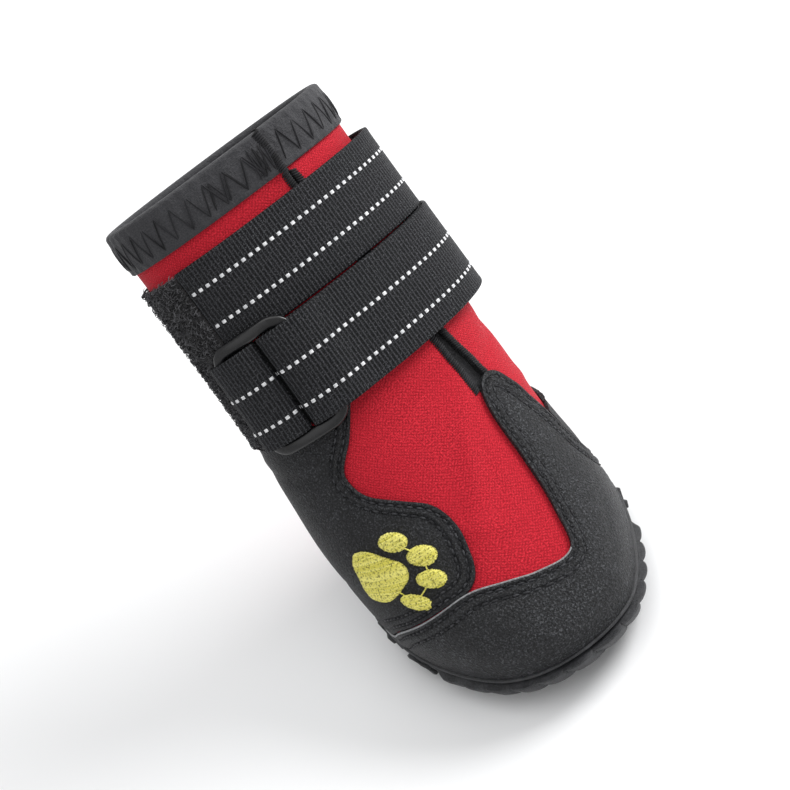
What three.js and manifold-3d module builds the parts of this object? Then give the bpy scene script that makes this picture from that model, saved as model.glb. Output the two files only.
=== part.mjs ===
// Dog bootie, right foot, one shoe standing on its sole.
// Millimetres. Toe towards -Y, heel towards +Y, up is +Z, outer side towards -X.
import * as THREE from 'three';
import Module from 'manifold-3d';

const wasm = await Module();
wasm.setup();

// Cloth and gaps
const wall = 1.4; // softshell with its lining
const seat = 0.3; // space between pieces that lie on each other
const insoleGap = 0.45; // between the insole and the wall
const leather = 0.8; // side panels
const capLeather = 1.0; // toe cap and strip
const webbing = 1.1; // strap thickness
const loopCloth = 1.1; // fuzzy field
const tabThickness = 0.9;
const mmPerDegree = 0.5; // round the shaft

// Levels are measured up the front of the shoe from the lower edge of the upper
const soleTopLevel = 5.9; // overlays end here, just above the rim of the sole
const collarLevel = 156;
const bindingLow = 145.3;
const binding = { from: 19.2, to: 376.4, outside: 0.7, inside: 0.6, innerRise: 3, facets: 42 };
const lowerStrapLow = 91;
const lowerStrapHigh = 116.8;
const upperStrapLow = 117.2;
const upperStrapHigh = 140.5;

// Ground and sole
const footHalfWidth = 33.8;
const footHalfLength = 41.75;
const footMiddle = -0.25; // y of the middle of the sole
const fillShare = 0.62; // size of the ring of points inside a flat face
const treadDepth = 1.4;
const soleFloor = 4.1; // inside floor of the rubber cup
const toeSpring = 4;
const springStart = -22; // y where the toe begins to rise
const springEnd = -42;
const archRise = 0.8;
const archFront = 2;
const archBack = 18;
const liftFade = { from: 12, over: 22 }; // heights over which the upper forgets the lift
const insoleLow = 4.75;
const insoleHigh = 6.6;

// Origin of the finished part: middle of its outer box, on the floor
const originX = 0.94;
const originY = 21.99;

const columns = 48; // facets round the shoe
const stationStep = 7; // degrees between the facets of a strap
const curveShare = 1.005; // the curved front is this much longer than its chords
const degrees = Math.PI / 180;

// True outline of the sole: half widths of the outer and inner side at each y
const soleOutline = [
  { y: -41, outer: 8, inner: 7 },
  { y: -38, outer: 15, inner: 13.5 },
  { y: -33, outer: 21, inner: 18.5 },
  { y: -26, outer: 26, inner: 23.5 },
  { y: -17, outer: 30.5, inner: 28.5 },
  { y: -8, outer: 33.3, inner: 31.8 },
  { y: 0, outer: 34.3, inner: 33.2 },
  { y: 8, outer: 34, inner: 33 },
  { y: 17, outer: 31.2, inner: 30.7 },
  { y: 27, outer: 26.2, inner: 26 },
  { y: 35, outer: 21.3, inner: 21.2 },
  { y: 40, outer: 17, inner: 17 },
  { y: 41.5, outer: 13.5, inner: 13.5 },
];

// Sections of the last, from the sole to the collar. Each is a closed curve in a plane that leans
// back by tilt; front is its foremost point, foot says how much of the sole's outline it keeps.
const sections = [
  { frontY: -39.6, frontZ: 4.5, depth: 78.7, tilt: 0, half: 31.4, square: 2.3, foot: 1, shift: 0 },
  { frontY: -40.8, frontZ: 11, depth: 81, tilt: 0, half: 32.7, square: 2.3, foot: 1, shift: -0.2 },
  { frontY: -38.6, frontZ: 19, depth: 80.6, tilt: 2, half: 33.2, square: 2.25, foot: 0.9, shift: -0.8 },
  { frontY: -31, frontZ: 26.5, depth: 74.6, tilt: 4.8, half: 33.2, square: 2.2, foot: 0.6, shift: -1.4 },
  { frontY: -18, frontZ: 34.5, depth: 63.5, tilt: 8.8, half: 33.1, square: 2.15, foot: 0.35, shift: -1.8 },
  { frontY: -4, frontZ: 44, depth: 52.2, tilt: 15, half: 32.9, square: 2.1, foot: 0.15, shift: -1.5 },
  { frontY: 9, frontZ: 54.5, depth: 43.2, tilt: 23, half: 32.5, square: 2.1, foot: 0, shift: -0.8 },
  { frontY: 18.5, frontZ: 65, depth: 38.6, tilt: 30, half: 31.8, square: 2.1, foot: 0, shift: -0.2 },
  { frontY: 26, frontZ: 76, depth: 37, tilt: 33.4, half: 31.4, square: 2.1, foot: 0, shift: 0 },
  { frontY: 35.5, frontZ: 90, depth: 36, tilt: 34, half: 31.2, square: 2.1, foot: 0, shift: 0 },
  { frontY: 46, frontZ: 105.5, depth: 36, tilt: 34, half: 31.2, square: 2.1, foot: 0, shift: 0 },
  { frontY: 56, frontZ: 120.5, depth: 36, tilt: 34, half: 31.4, square: 2.1, foot: 0, shift: 0 },
  { frontY: 59.4, frontZ: 125.5, depth: 36, tilt: 34, half: 31.5, square: 2.1, foot: 0, shift: 0 },
];

// Profile of the rubber cup, from the underside up the wall, over the rim and down inside
const cupProfile = [
  { height: 1.4, out: -3 },
  { height: 1.9, out: -0.6 },
  { height: 3.2, out: 0.9 },
  { height: 8.1, out: 2.2 },
  { height: 8.4, out: 1.6 },
  { height: 9.7, out: 1.2 },
  { height: 9.7, out: 0.35 },
  { height: 4.1, out: 0.35 },
];

// Split of the upper at the inner front, angles of its two edges
const splitEdges = [
  { level: 71.5, left: 32.5, right: 42 },
  { level: 75, left: 32, right: 41.5 },
  { level: 90, left: 30, right: 35 },
  { level: 118, left: 23.5, right: 27 },
  { level: 140, left: 19, right: 21.4 },
  { level: 160, left: 16.6, right: 18.8 },
];

// Top edge of the toe cap, with the strip that climbs the inner front
const capTop = [
  { angle: -95, level: 6.8 },
  { angle: -86, level: 12 },
  { angle: -77, level: 18.2 },
  { angle: -62, level: 24.4 },
  { angle: -39, level: 31.4 },
  { angle: -24, level: 34 },
  { angle: -9, level: 32.2 },
  { angle: 2, level: 29.6 },
  { angle: 13, level: 27.8 },
  { angle: 18.5, level: 29.4 },
  { angle: 23, level: 36.5 },
  { angle: 26.6, level: 44 },
  { angle: 28.4, level: 53 },
  { angle: 29.6, level: 65 },
  { angle: 32.5, level: 71.6 },
  { angle: 39.5, level: 74.2 },
  { angle: 47, level: 72 },
  { angle: 53, level: 66 },
  { angle: 59, level: 58 },
  { angle: 65, level: 48.5 },
  { angle: 70, level: 38 },
  { angle: 77, level: 29 },
  { angle: 86, level: 20.5 },
  { angle: 95, level: 13 },
  { angle: 103, level: 7 },
];

// Outer side panel: angle of its wavy front edge and of its edge beside the heel
const outerPanelEdges = [
  { level: 5.9, left: -158, right: -97.4 },
  { level: 9.2, left: -156.8, right: -91.7 },
  { level: 12.6, left: -155.5, right: -85.9 },
  { level: 15.7, left: -154, right: -81.7 },
  { level: 18.8, left: -152.5, right: -76.8 },
  { level: 22, left: -150.8, right: -69.7 },
  { level: 25.2, left: -149, right: -61 },
  { level: 28.7, left: -147, right: -50.2 },
  { level: 32.2, left: -145, right: -37.4 },
  { level: 34.4, left: -143.5, right: -25 },
  { level: 37.8, left: -141.5, right: -17.5 },
  { level: 44, left: -138, right: -13 },
  { level: 51.2, left: -135, right: -11 },
  { level: 58.4, left: -132, right: -14.5 },
  { level: 63.2, left: -130, right: -24 },
  { level: 68, left: -128, right: -35 },
  { level: 72.8, left: -127, right: -39 },
  { level: 76.8, left: -126, right: -38 },
  { level: 83.2, left: -126, right: -27 },
  { level: 90.7, left: -126, right: -17 },
];

// Inner side panel: behind the strip, down to the heel
const innerPanelEdges = [
  { level: 5.9, left: 106, right: 158 },
  { level: 13, left: 97.5, right: 154 },
  { level: 20.5, left: 88.5, right: 150 },
  { level: 29, left: 79.5, right: 143 },
  { level: 38, left: 72.5, right: 131 },
  { level: 44.5, left: 69.5, right: 113 },
  { level: 48.5, left: 68, right: 88 },
];

// Fuzzy loop field round the outer side and the back of the shaft
const loopEdges = [
  { level: 92, left: 118, right: 287 },
  { level: 117.1, left: 118, right: 287 },
  { level: 118.2, left: 118, right: 306.8 },
  { level: 140, left: 118, right: 306.8 },
];

// Path of each strap round the shaft: angle and distance of its middle from the upper
const upperStrapPath = [
  { angle: -52, out: 0.95 },
  { angle: -30, out: 0.95 },
  { angle: 0, out: 0.95 },
  { angle: 30, out: 1.1 },
  { angle: 55, out: 1.9 },
  { angle: 75, out: 3.5 },
  { angle: 90, out: 4.6 },
  { angle: 105, out: 4.2 },
  { angle: 125, out: 2.9 },
  { angle: 145, out: 2.4 },
  { angle: 165, out: 2.35 },
];

const lowerStrapPath = [
  { angle: 108, out: 6.6 },
  { angle: 98, out: 6.3 },
  { angle: 88, out: 5.7 },
  { angle: 75, out: 4.9 },
  { angle: 58, out: 3.7 },
  { angle: 35, out: 2.6 },
  { angle: 15, out: 2.6 },
  { angle: -2, out: 3.2 },
  { angle: -12, out: 4.8 },
  { angle: -20, out: 5.1 },
  { angle: -28, out: 4.9 },
  { angle: -33, out: 4.1 },
  { angle: -35, out: 2.9 },
  { angle: -33, out: 1.6 },
  { angle: -28, out: 0.95 },
  { angle: -12, out: 0.9 },
  { angle: 15, out: 0.9 },
  { angle: 35, out: 0.95 },
  { angle: 58, out: 1.7 },
  { angle: 75, out: 2.9 },
  { angle: 90, out: 3.9 },
  { angle: 105, out: 3.8 },
  { angle: 125, out: 2.7 },
  { angle: 145, out: 2.35 },
  { angle: 165, out: 2.3 },
];

const tabPath = [
  { angle: -71, out: 2.05 },
  { angle: -68, out: 3.2 },
  { angle: -64.5, out: 4.7 },
  { angle: -60, out: 5.1 },
  { angle: -52, out: 5.1 },
  { angle: -44, out: 4.6 },
  { angle: -40, out: 3.8 },
  { angle: -38.2, out: 2.8 },
  { angle: -40, out: 1.7 },
  { angle: -44, out: 1 },
  { angle: -54, out: 0.9 },
  { angle: -70, out: 0.9 },
];

// Plastic ring: a rounded frame that follows the shaft
const ring = { left: -61, right: -20, low: 89.2, high: 118.6, corner: 4, bar: 3, thick: 2, out: 2.95 };

// Embroidered paw: the pad, its outline round its middle, and the radii of the toes
const pawPad = { angle: -57.5, level: 44.3 };
const padOutline = [
  { across: 8.9, along: 2.9 },
  { across: 6.2, along: 6 },
  { across: 2, along: 9.2 },
  { across: -1.6, along: 9.1 },
  { across: -4.8, along: 5.3 },
  { across: -6.6, along: -1.1 },
  { across: -8, along: -6.6 },
  { across: -7.4, along: -9.7 },
  { across: -3.1, along: -9.5 },
  { across: 0.6, along: -7.2 },
  { across: 4.3, along: -4.2 },
  { across: 8, along: -0.6 },
];
const pawToes = [
  { angle: -38.4, level: 54.2, across: 3.7, along: 2.6 },
  { angle: -30.8, level: 48, across: 3.8, along: 2.6 },
  { angle: -34, level: 41.2, across: 3.8, along: 2.5 },
  { angle: -48.6, level: 34.9, across: 4.3, along: 2.5 },
];
const pawThread = { low: 1.15, high: 1.5, top: 1.75, width: 0.8, facets: 10 };

// X-shaped lugs of the tread: rows across the sole
const lugRows = [
  { y: -31.5, count: 2, pitch: 13 },
  { y: -21, count: 3, pitch: 14.5 },
  { y: -10, count: 4, pitch: 14 },
  { y: 1.5, count: 4, pitch: 14.6 },
  { y: 13, count: 4, pitch: 13.2 },
];
const lug = { arm: 4.6, width: 2.3, root: 0.5 };
const heelBar = { y: 33.8, halfWidth: 13, halfDepth: 1.6 };
const heelOval = { y: 24.5, halfWidth: 5.5, halfDepth: 5, facets: 14 };

// Ribs round the toe bumper
const bumperRibs = {
  first: -66, last: 66, step: 12, low: 2.7, high: 7.7, root: 1.2, foot: 1.5, out: 3, width: 3,
};

function smooth(t) {
  const k = Math.min(1, Math.max(0, t));
  return k * k * (3 - 2 * k);
}

// Value of one column of a table between its rows, as a smooth curve
function fromTable(table, key, value, at) {
  const last = table.length - 1;
  const step = Math.sign(table[last][key] - table[0][key]);
  let i = 0;
  while (i < last - 1 && step * (at - table[i + 1][key]) > 0) i += 1;
  const span = table[i + 1][key] - table[i][key];
  const t = Math.min(1, Math.max(0, (at - table[i][key]) / span));
  const slope = (k) => {
    const a = Math.max(0, k - 1);
    const b = Math.min(last, k + 1);
    return (table[b][value] - table[a][value]) / (table[b][key] - table[a][key]);
  };
  const p0 = table[i][value];
  const p1 = table[i + 1][value];
  const m0 = slope(i) * span;
  const m1 = slope(i + 1) * span;
  const t2 = t * t;
  const t3 = t2 * t;
  return (2 * t3 - 3 * t2 + 1) * p0 + (t3 - 2 * t2 + t) * m0 + (3 * t2 - 2 * t3) * p1 + (t3 - t2) * m1;
}

// The sole's outline as radii round its middle, in units of its half width and half length
function outlineRadii() {
  const inner = soleOutline.map((row) => new THREE.Vector3(row.inner, row.y, 0));
  const outer = soleOutline.map((row) => new THREE.Vector3(-row.outer, row.y, 0)).reverse();
  const toe = new THREE.Vector3(0, footMiddle - footHalfLength, 0);
  const heel = new THREE.Vector3(0, footMiddle + footHalfLength, 0);
  const curve = new THREE.CatmullRomCurve3([toe, ...inner, heel, ...outer], true, 'centripetal');
  const radii = curve.getSpacedPoints(720).map((p) => {
    const x = p.x / footHalfWidth;
    const f = (footMiddle - p.y) / footHalfLength;
    return { turn: Math.atan2(x, f), radius: Math.hypot(x, f) };
  });
  return radii.sort((a, b) => a.turn - b.turn);
}
const footRadii = outlineRadii();

function footRadius(turn) {
  let low = 0;
  let high = footRadii.length - 1;
  if (turn <= footRadii[low].turn || turn >= footRadii[high].turn) return footRadii[low].radius;
  while (high - low > 1) {
    const middle = (low + high) >> 1;
    if (footRadii[middle].turn > turn) high = middle;
    else low = middle;
  }
  const span = footRadii[high].turn - footRadii[low].turn;
  const t = (turn - footRadii[low].turn) / span;
  return footRadii[low].radius * (1 - t) + footRadii[high].radius * t;
}

// Unit outline of a section: across to the inner side and forward to the toe
function sectionShape(angle, square, foot) {
  const s = Math.sin(angle * degrees);
  const c = Math.cos(angle * degrees);
  const across = Math.sign(s) * Math.abs(s) ** (2 / square);
  const forward = Math.sign(c) * Math.abs(c) ** (2 / square);
  const turn = Math.atan2(across, forward);
  const radius = footRadius(turn);
  return {
    across: across * (1 - foot) + Math.sin(turn) * radius * foot,
    forward: forward * (1 - foot) + Math.cos(turn) * radius * foot,
  };
}

// Rise of the sole: toe spring and a low arch
function lift(y) {
  const toe = Math.max(0, springStart - y) / (springStart - springEnd);
  const along = Math.min(1, Math.max(0, (y - archFront) / (archBack - archFront)));
  return toeSpring * toe * toe + archRise * Math.sin(along * Math.PI) ** 2;
}

// Level of each section, measured along the front
const sectionLevels = sections.map(() => 0);
for (let i = 1; i < sections.length; i += 1) {
  const a = sections[i - 1];
  const b = sections[i];
  const chord = Math.hypot(b.frontY - a.frontY, b.frontZ - a.frontZ);
  sectionLevels[i] = sectionLevels[i - 1] + chord * curveShare;
}
const leveled = sections.map((row, i) => ({ ...row, level: sectionLevels[i] }));

function sectionAt(level) {
  const at = Math.min(sectionLevels[sectionLevels.length - 1], Math.max(0, level));
  const row = {};
  for (const key of ['frontY', 'frontZ', 'depth', 'tilt', 'half', 'square', 'foot', 'shift']) {
    row[key] = fromTable(leveled, 'level', key, at);
  }
  return row;
}

// A point of the last's surface: angle 0 is the toe, 90 the inner side, 180 the heel
function lastPoint(angle, level) {
  const row = sectionAt(level);
  const shape = sectionShape(angle, row.square, row.foot);
  const reach = row.depth / 2;
  const lean = row.tilt * degrees;
  const middleY = row.frontY + reach * Math.cos(lean);
  const middleZ = row.frontZ - reach * Math.sin(lean);
  const point = new THREE.Vector3(
    row.shift + row.half * shape.across,
    middleY - reach * shape.forward * Math.cos(lean),
    middleZ + reach * shape.forward * Math.sin(lean),
  );
  point.z += lift(point.y) * (1 - smooth((point.z - liftFade.from) / liftFade.over));
  return point;
}

function lastNormal(angle, level) {
  const round = lastPoint(angle + 1, level).sub(lastPoint(angle - 1, level));
  const up = lastPoint(angle, level + 0.4).sub(lastPoint(angle, level - 0.4));
  return round.cross(up).normalize();
}

// The same surface moved out along its own normal
function formPoint(angle, level, out) {
  return lastPoint(angle, level).addScaledVector(lastNormal(angle, level), out);
}

// Plan of the foot at a height near the ground, moved out sideways
function footPoint(angle, height, out) {
  const level = height - sections[0].frontZ;
  const here = lastPoint(angle, level);
  const round = lastPoint(angle + 1, level).sub(lastPoint(angle - 1, level));
  const side = new THREE.Vector2(round.y, -round.x).normalize();
  const x = here.x + side.x * out;
  const y = here.y + side.y * out;
  return new THREE.Vector3(x, y, height + lift(y));
}

// Closed body from points and triangles, with its faces pointing out
function body(points, triangles) {
  let volume = 0;
  for (const [a, b, c] of triangles) {
    volume += points[a].dot(new THREE.Vector3().crossVectors(points[b], points[c]));
  }
  const faces = volume < 0 ? triangles.map(([a, b, c]) => [a, c, b]) : triangles;
  const vertProperties = new Float32Array(points.flatMap((p) => [p.x, p.y, p.z]));
  const triVerts = new Uint32Array(faces.flat());
  return new wasm.Manifold(new wasm.Mesh({ numProp: 3, vertProperties, triVerts }));
}

function quad(list, a, b, c, d) {
  list.push([a, b, c], [a, c, d]);
}

// Skin between an outer and an inner grid of points; round closes it into a tube
function skin(outer, inner, round) {
  const rows = outer.length;
  const count = outer[0].length;
  const points = [...outer.flat(), ...inner.flat()];
  const back = rows * count;
  const triangles = [];
  const stop = round ? count : count - 1;
  for (let r = 0; r < rows; r += 1) {
    for (let c = 0; c < stop; c += 1) {
      const next = (c + 1) % count;
      const a = r * count + c;
      const b = r * count + next;
      if (r < rows - 1) {
        quad(triangles, a, b, b + count, a + count);
        quad(triangles, back + a, back + a + count, back + b + count, back + b);
      }
      if (r === 0) quad(triangles, a, back + a, back + b, b);
      if (r === rows - 1) quad(triangles, a, b, back + b, back + a);
    }
  }
  if (!round) {
    for (let r = 0; r < rows - 1; r += 1) {
      const a = r * count;
      const b = a + count - 1;
      quad(triangles, a, a + count, back + a + count, back + a);
      quad(triangles, b, back + b, back + b + count, b + count);
    }
  }
  return body(points, triangles);
}

// Loft through rings of equal count; a loop joins the last to the first, else ends close flat
function loft(rings, loop, endPlan) {
  const count = rings[0].length;
  const points = rings.flat();
  const triangles = [];
  const stop = loop ? rings.length : rings.length - 1;
  for (let r = 0; r < stop; r += 1) {
    const here = r * count;
    const there = ((r + 1) % rings.length) * count;
    for (let c = 0; c < count; c += 1) {
      const next = (c + 1) % count;
      quad(triangles, here + c, here + next, there + next, there + c);
    }
  }
  if (!loop) {
    const end = (rings.length - 1) * count;
    const turn = Math.sign(THREE.ShapeUtils.area(endPlan));
    for (const [a, b, c] of THREE.ShapeUtils.triangulateShape(endPlan, [])) {
      const same = Math.sign(THREE.ShapeUtils.area([endPlan[a], endPlan[b], endPlan[c]])) === turn;
      const [p, q] = same ? [b, c] : [c, b];
      triangles.push([a, q, p], [end + a, end + p, end + q]);
    }
  }
  return body(points, triangles);
}

function spread(from, to, count) {
  return Array.from({ length: count + 1 }, (_, i) => from + ((to - from) * i) / count);
}

// Field of cloth or leather between two edges that change with level
function field(edges, levels, count, low, high) {
  const layer = (out) => levels.map((level) => {
    const left = fromTable(edges, 'level', 'left', level);
    const right = fromTable(edges, 'level', 'right', level);
    return spread(left, right, count).map((angle) => formPoint(angle, level, out));
  });
  return skin(layer(high), layer(low), false);
}

// Band of webbing that follows a path round the shaft
function band(path, low, high, thick) {
  const line = new THREE.CatmullRomCurve3(
    path.map((p) => new THREE.Vector3(p.angle * mmPerDegree, p.out, 0)), false, 'centripetal',
  );
  const stops = [];
  for (let i = 0; i < path.length - 1; i += 1) {
    const parts = Math.max(2, Math.ceil(Math.abs(path[i + 1].angle - path[i].angle) / stationStep));
    for (let k = 0; k < parts; k += 1) stops.push(i + k / parts);
  }
  stops.push(path.length - 1);
  const places = stops.map((i) => {
    const p = line.getPoint(i / (path.length - 1));
    return { angle: p.x / mmPerDegree, out: p.y };
  });
  const edge = (level) => places.map((p) => formPoint(p.angle, level, p.out));
  const lower = edge(low);
  const upper = edge(high);
  const rings = places.map((_, i) => {
    const a = Math.max(0, i - 1);
    const b = Math.min(places.length - 1, i + 1);
    const ringPoints = [];
    for (const [side, sign] of [[lower, 1], [upper, 1], [upper, -1], [lower, -1]]) {
      const along = side[b].clone().sub(side[a]);
      const across = upper[i].clone().sub(lower[i]);
      const face = along.cross(across).normalize();
      ringPoints.push(side[i].clone().addScaledVector(face, (sign * thick) / 2));
    }
    return ringPoints;
  });
  const plan = [[0, 1], [1, 1], [1, 0], [0, 0]].map(([x, y]) => new THREE.Vector2(x, y));
  return loft(rings, false, plan);
}

const round = spread(-180, 180, columns).slice(0, columns);
const upperLevels = [0, 5.2, 10.5, 15.8, 22, 29, 37, 46, 55, 65, 76, 87, 98, 117, 137, collarLevel];

// Full form of the upper, grown by one gap: what lies on the upper is cut back to it
function makeGrownForm() {
  const rings = upperLevels.map((level) => round.map((angle) => formPoint(angle, level, seat)));
  const points = rings.flat();
  const low = points.length;
  const end = (rings.length - 1) * columns;
  const middleOf = (edge) => edge.reduce((sum, p) => sum.add(p), new THREE.Vector3()).divideScalar(columns);
  points.push(middleOf(rings[0]), middleOf(rings[rings.length - 1]));
  const triangles = [];
  for (let c = 0; c < columns; c += 1) {
    const next = (c + 1) % columns;
    for (let r = 0; r < rings.length - 1; r += 1) {
      const a = r * columns;
      quad(triangles, a + c, a + next, a + columns + next, a + columns + c);
    }
    triangles.push([low, next, c], [low + 1, end + c, end + next]);
  }
  return body(points, triangles);
}
const grownForm = makeGrownForm();

// Leather or cloth laid on the upper between two edges
function overlay(edges, levels, count, thick) {
  return field(edges, levels, count, -seat, seat + thick).subtract(grownForm);
}

function makeUpper() {
  const outer = upperLevels.map((level) => round.map((angle) => formPoint(angle, level, 0)));
  const inner = upperLevels.map((level) => round.map((angle) => formPoint(angle, level, -wall)));
  const tube = skin(outer, inner, true);
  const cutLevels = splitEdges.map((row) => row.level);
  const cutter = field(splitEdges, cutLevels, 2, -2 * wall, wall);
  return tube.subtract(cutter);
}

// Flat plate that fills a ring of points with smaller rings towards the middle
function filledRings(edge, height, shares) {
  const middle = new THREE.Vector3(0, footMiddle, 0);
  return shares.map((share) => edge.map((p) => {
    const q = p.clone().sub(middle).multiplyScalar(share).add(middle);
    return new THREE.Vector3(q.x, q.y, height + lift(q.y));
  }));
}

// Body of revolution-like rings with a middle point at both ends
function capped(rings, lowHeight, highHeight) {
  const count = rings[0].length;
  const points = rings.flat();
  const low = points.length;
  const high = low + 1;
  points.push(new THREE.Vector3(0, footMiddle, lowHeight + lift(footMiddle)));
  points.push(new THREE.Vector3(0, footMiddle, highHeight + lift(footMiddle)));
  const triangles = [];
  const end = (rings.length - 1) * count;
  for (let c = 0; c < count; c += 1) {
    const next = (c + 1) % count;
    for (let r = 0; r < rings.length - 1; r += 1) {
      const a = r * count;
      quad(triangles, a + c, a + next, a + count + next, a + count + c);
    }
    triangles.push([low, next, c], [high, end + c, end + next]);
  }
  return body(points, triangles);
}

// X-shaped lug, reaching a little into the sole above it
function lugAt(x, y) {
  const a = lug.arm;
  const w = lug.width / 2;
  const outline = [
    [w, w], [a, w], [a, -w], [w, -w], [w, -a], [-w, -a],
    [-w, -w], [-a, -w], [-a, w], [-w, w], [-w, a], [w, a],
  ];
  const turned = outline.map(([u, v]) => {
    const px = x + (u - v) * Math.SQRT1_2;
    const py = y + (u + v) * Math.SQRT1_2;
    return [px, py];
  });
  return prism(turned, 0, treadDepth + lug.root);
}

function prism(outline, low, high) {
  const plan = outline.map(([x, y]) => new THREE.Vector2(x, y));
  const at = (height) => outline.map(([x, y]) => new THREE.Vector3(x, y, height + lift(y)));
  return loft([at(low), at(high)], false, plan);
}

function makeOutsole() {
  const rings = cupProfile.map((p) => round.map((angle) => footPoint(angle, p.height, p.out)));
  const under = filledRings(rings[0], treadDepth, [fillShare]);
  const floor = filledRings(rings[rings.length - 1], soleFloor, [fillShare]);
  let sole = capped([...under, ...rings, ...floor], treadDepth, soleFloor);
  for (const row of lugRows) {
    for (let i = 0; i < row.count; i += 1) {
      sole = sole.add(lugAt((i - (row.count - 1) / 2) * row.pitch, row.y));
    }
  }
  const bar = heelBar;
  sole = sole.add(prism([
    [-bar.halfWidth, bar.y - bar.halfDepth], [bar.halfWidth, bar.y - bar.halfDepth],
    [bar.halfWidth, bar.y + bar.halfDepth], [-bar.halfWidth, bar.y + bar.halfDepth],
  ], 0, treadDepth + lug.root));
  const oval = Array.from({ length: heelOval.facets }, (_, i) => {
    const t = (i / heelOval.facets) * 2 * Math.PI;
    return [heelOval.halfWidth * Math.cos(t), heelOval.y + heelOval.halfDepth * Math.sin(t)];
  });
  sole = sole.add(prism(oval, 0, treadDepth + lug.root));
  const ribs = bumperRibs;
  for (let angle = ribs.first; angle <= ribs.last; angle += ribs.step) {
    const half = ribs.width;
    const wedge = [ribs.low, ribs.high].map((height) => [
      footPoint(angle - half, height, ribs.root),
      footPoint(angle, height, height === ribs.low ? ribs.foot : ribs.out),
      footPoint(angle + half, height, ribs.root),
    ]);
    const plan = [[0, 0], [1, 1], [2, 0]].map(([x, y]) => new THREE.Vector2(x, y));
    sole = sole.add(loft(wedge, false, plan));
  }
  return sole;
}

function makeInsole() {
  const inset = -(wall + insoleGap);
  const sparse = round.filter((_, i) => i % 2 === 0);
  const edge = (height) => sparse.map((angle) => footPoint(angle, height, inset));
  const rings = [edge(insoleLow), edge(insoleHigh)];
  const under = filledRings(rings[0], insoleLow, [fillShare]);
  const top = filledRings(rings[1], insoleHigh, [fillShare]);
  return capped([...under, ...rings, ...top], insoleLow, insoleHigh);
}

function makeToeCap() {
  const capRows = 5;
  const widest = 6; // degrees between two rows of points
  const angles = [];
  for (let i = 0; i < capTop.length - 1; i += 1) {
    const a = capTop[i].angle;
    const b = capTop[i + 1].angle;
    angles.push(a);
    if (b - a > widest) angles.push((a + b) / 2);
  }
  angles.push(capTop[capTop.length - 1].angle);
  const layer = (out) => angles.map((angle) => {
    const top = fromTable(capTop, 'angle', 'level', angle);
    return spread(soleTopLevel, top, capRows).map((level) => formPoint(angle, level, out));
  });
  return skin(layer(seat + capLeather), layer(-seat), false).subtract(grownForm);
}

function makeBinding() {
  const low = bindingLow;
  const outer = seat + binding.outside;
  const inner = -wall - seat;
  const deepest = inner - binding.inside;
  const innerLow = low + binding.innerRise;
  const top = collarLevel + seat;
  const over = top + binding.outside;
  const profile = [
    [low, seat], [low, outer], [over, outer], [over, deepest],
    [innerLow, deepest], [innerLow, inner], [top, inner], [top, seat],
  ];
  const place = (angle, level, out) => {
    const rise = Math.max(0, level - collarLevel);
    const point = formPoint(angle, Math.min(level, collarLevel), out);
    const up = lastPoint(angle, collarLevel + 2).sub(lastPoint(angle, collarLevel)).normalize();
    return point.addScaledVector(up, rise);
  };
  const rings = spread(binding.from, binding.to, binding.facets)
    .map((angle) => profile.map(([level, out]) => place(angle, level, out)));
  return loft(rings, false, profile.map(([x, y]) => new THREE.Vector2(x, y)));
}

function makeGusset() {
  const edges = splitEdges.map((row) => ({
    level: row.level, left: row.left - gussetHem, right: row.right + gussetHem,
  }));
  return field(edges, gussetLevels, 3, -wall - seat - leather, -wall - seat);
}

function makeRing() {
  const corner = [];
  const wide = ring.corner / mmPerDegree;
  const turns = spread(0, 90, 4);
  for (const [side, height, start] of [[1, 1, 0], [-1, 1, 90], [-1, -1, 180], [1, -1, 270]]) {
    const centreAngle = side > 0 ? ring.right - wide : ring.left + wide;
    const centreLevel = height > 0 ? ring.high - ring.corner : ring.low + ring.corner;
    for (const turn of turns) {
      const t = (start + turn) * degrees;
      const level = centreLevel + ring.corner * Math.sin(t);
      corner.push({ angle: centreAngle + wide * Math.cos(t), level });
    }
  }
  const path = [];
  corner.forEach((here, i) => {
    const next = corner[(i + 1) % corner.length];
    path.push(here);
    if ((i + 1) % turns.length === 0) {
      for (const t of [0.33, 0.67]) {
        path.push({
          angle: here.angle + (next.angle - here.angle) * t,
          level: here.level + (next.level - here.level) * t,
        });
      }
    }
  });
  const centre = path.map((p) => formPoint(p.angle, p.level, ring.out));
  const b = ring.bar / 2;
  const h = ring.thick / 2;
  const flat = b / 2;
  const barShape = [[-b, 0], [-flat, -h], [flat, -h], [b, 0], [flat, h], [-flat, h]];
  const rings = path.map((p, i) => {
    const before = centre[(i + path.length - 1) % path.length];
    const after = centre[(i + 1) % path.length];
    const along = after.clone().sub(before).normalize();
    const face = lastNormal(p.angle, p.level);
    const across = along.cross(face).normalize();
    return barShape.map(([u, v]) => centre[i].clone().addScaledVector(across, u).addScaledVector(face, v));
  });
  return loft(rings, true);
}

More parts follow.
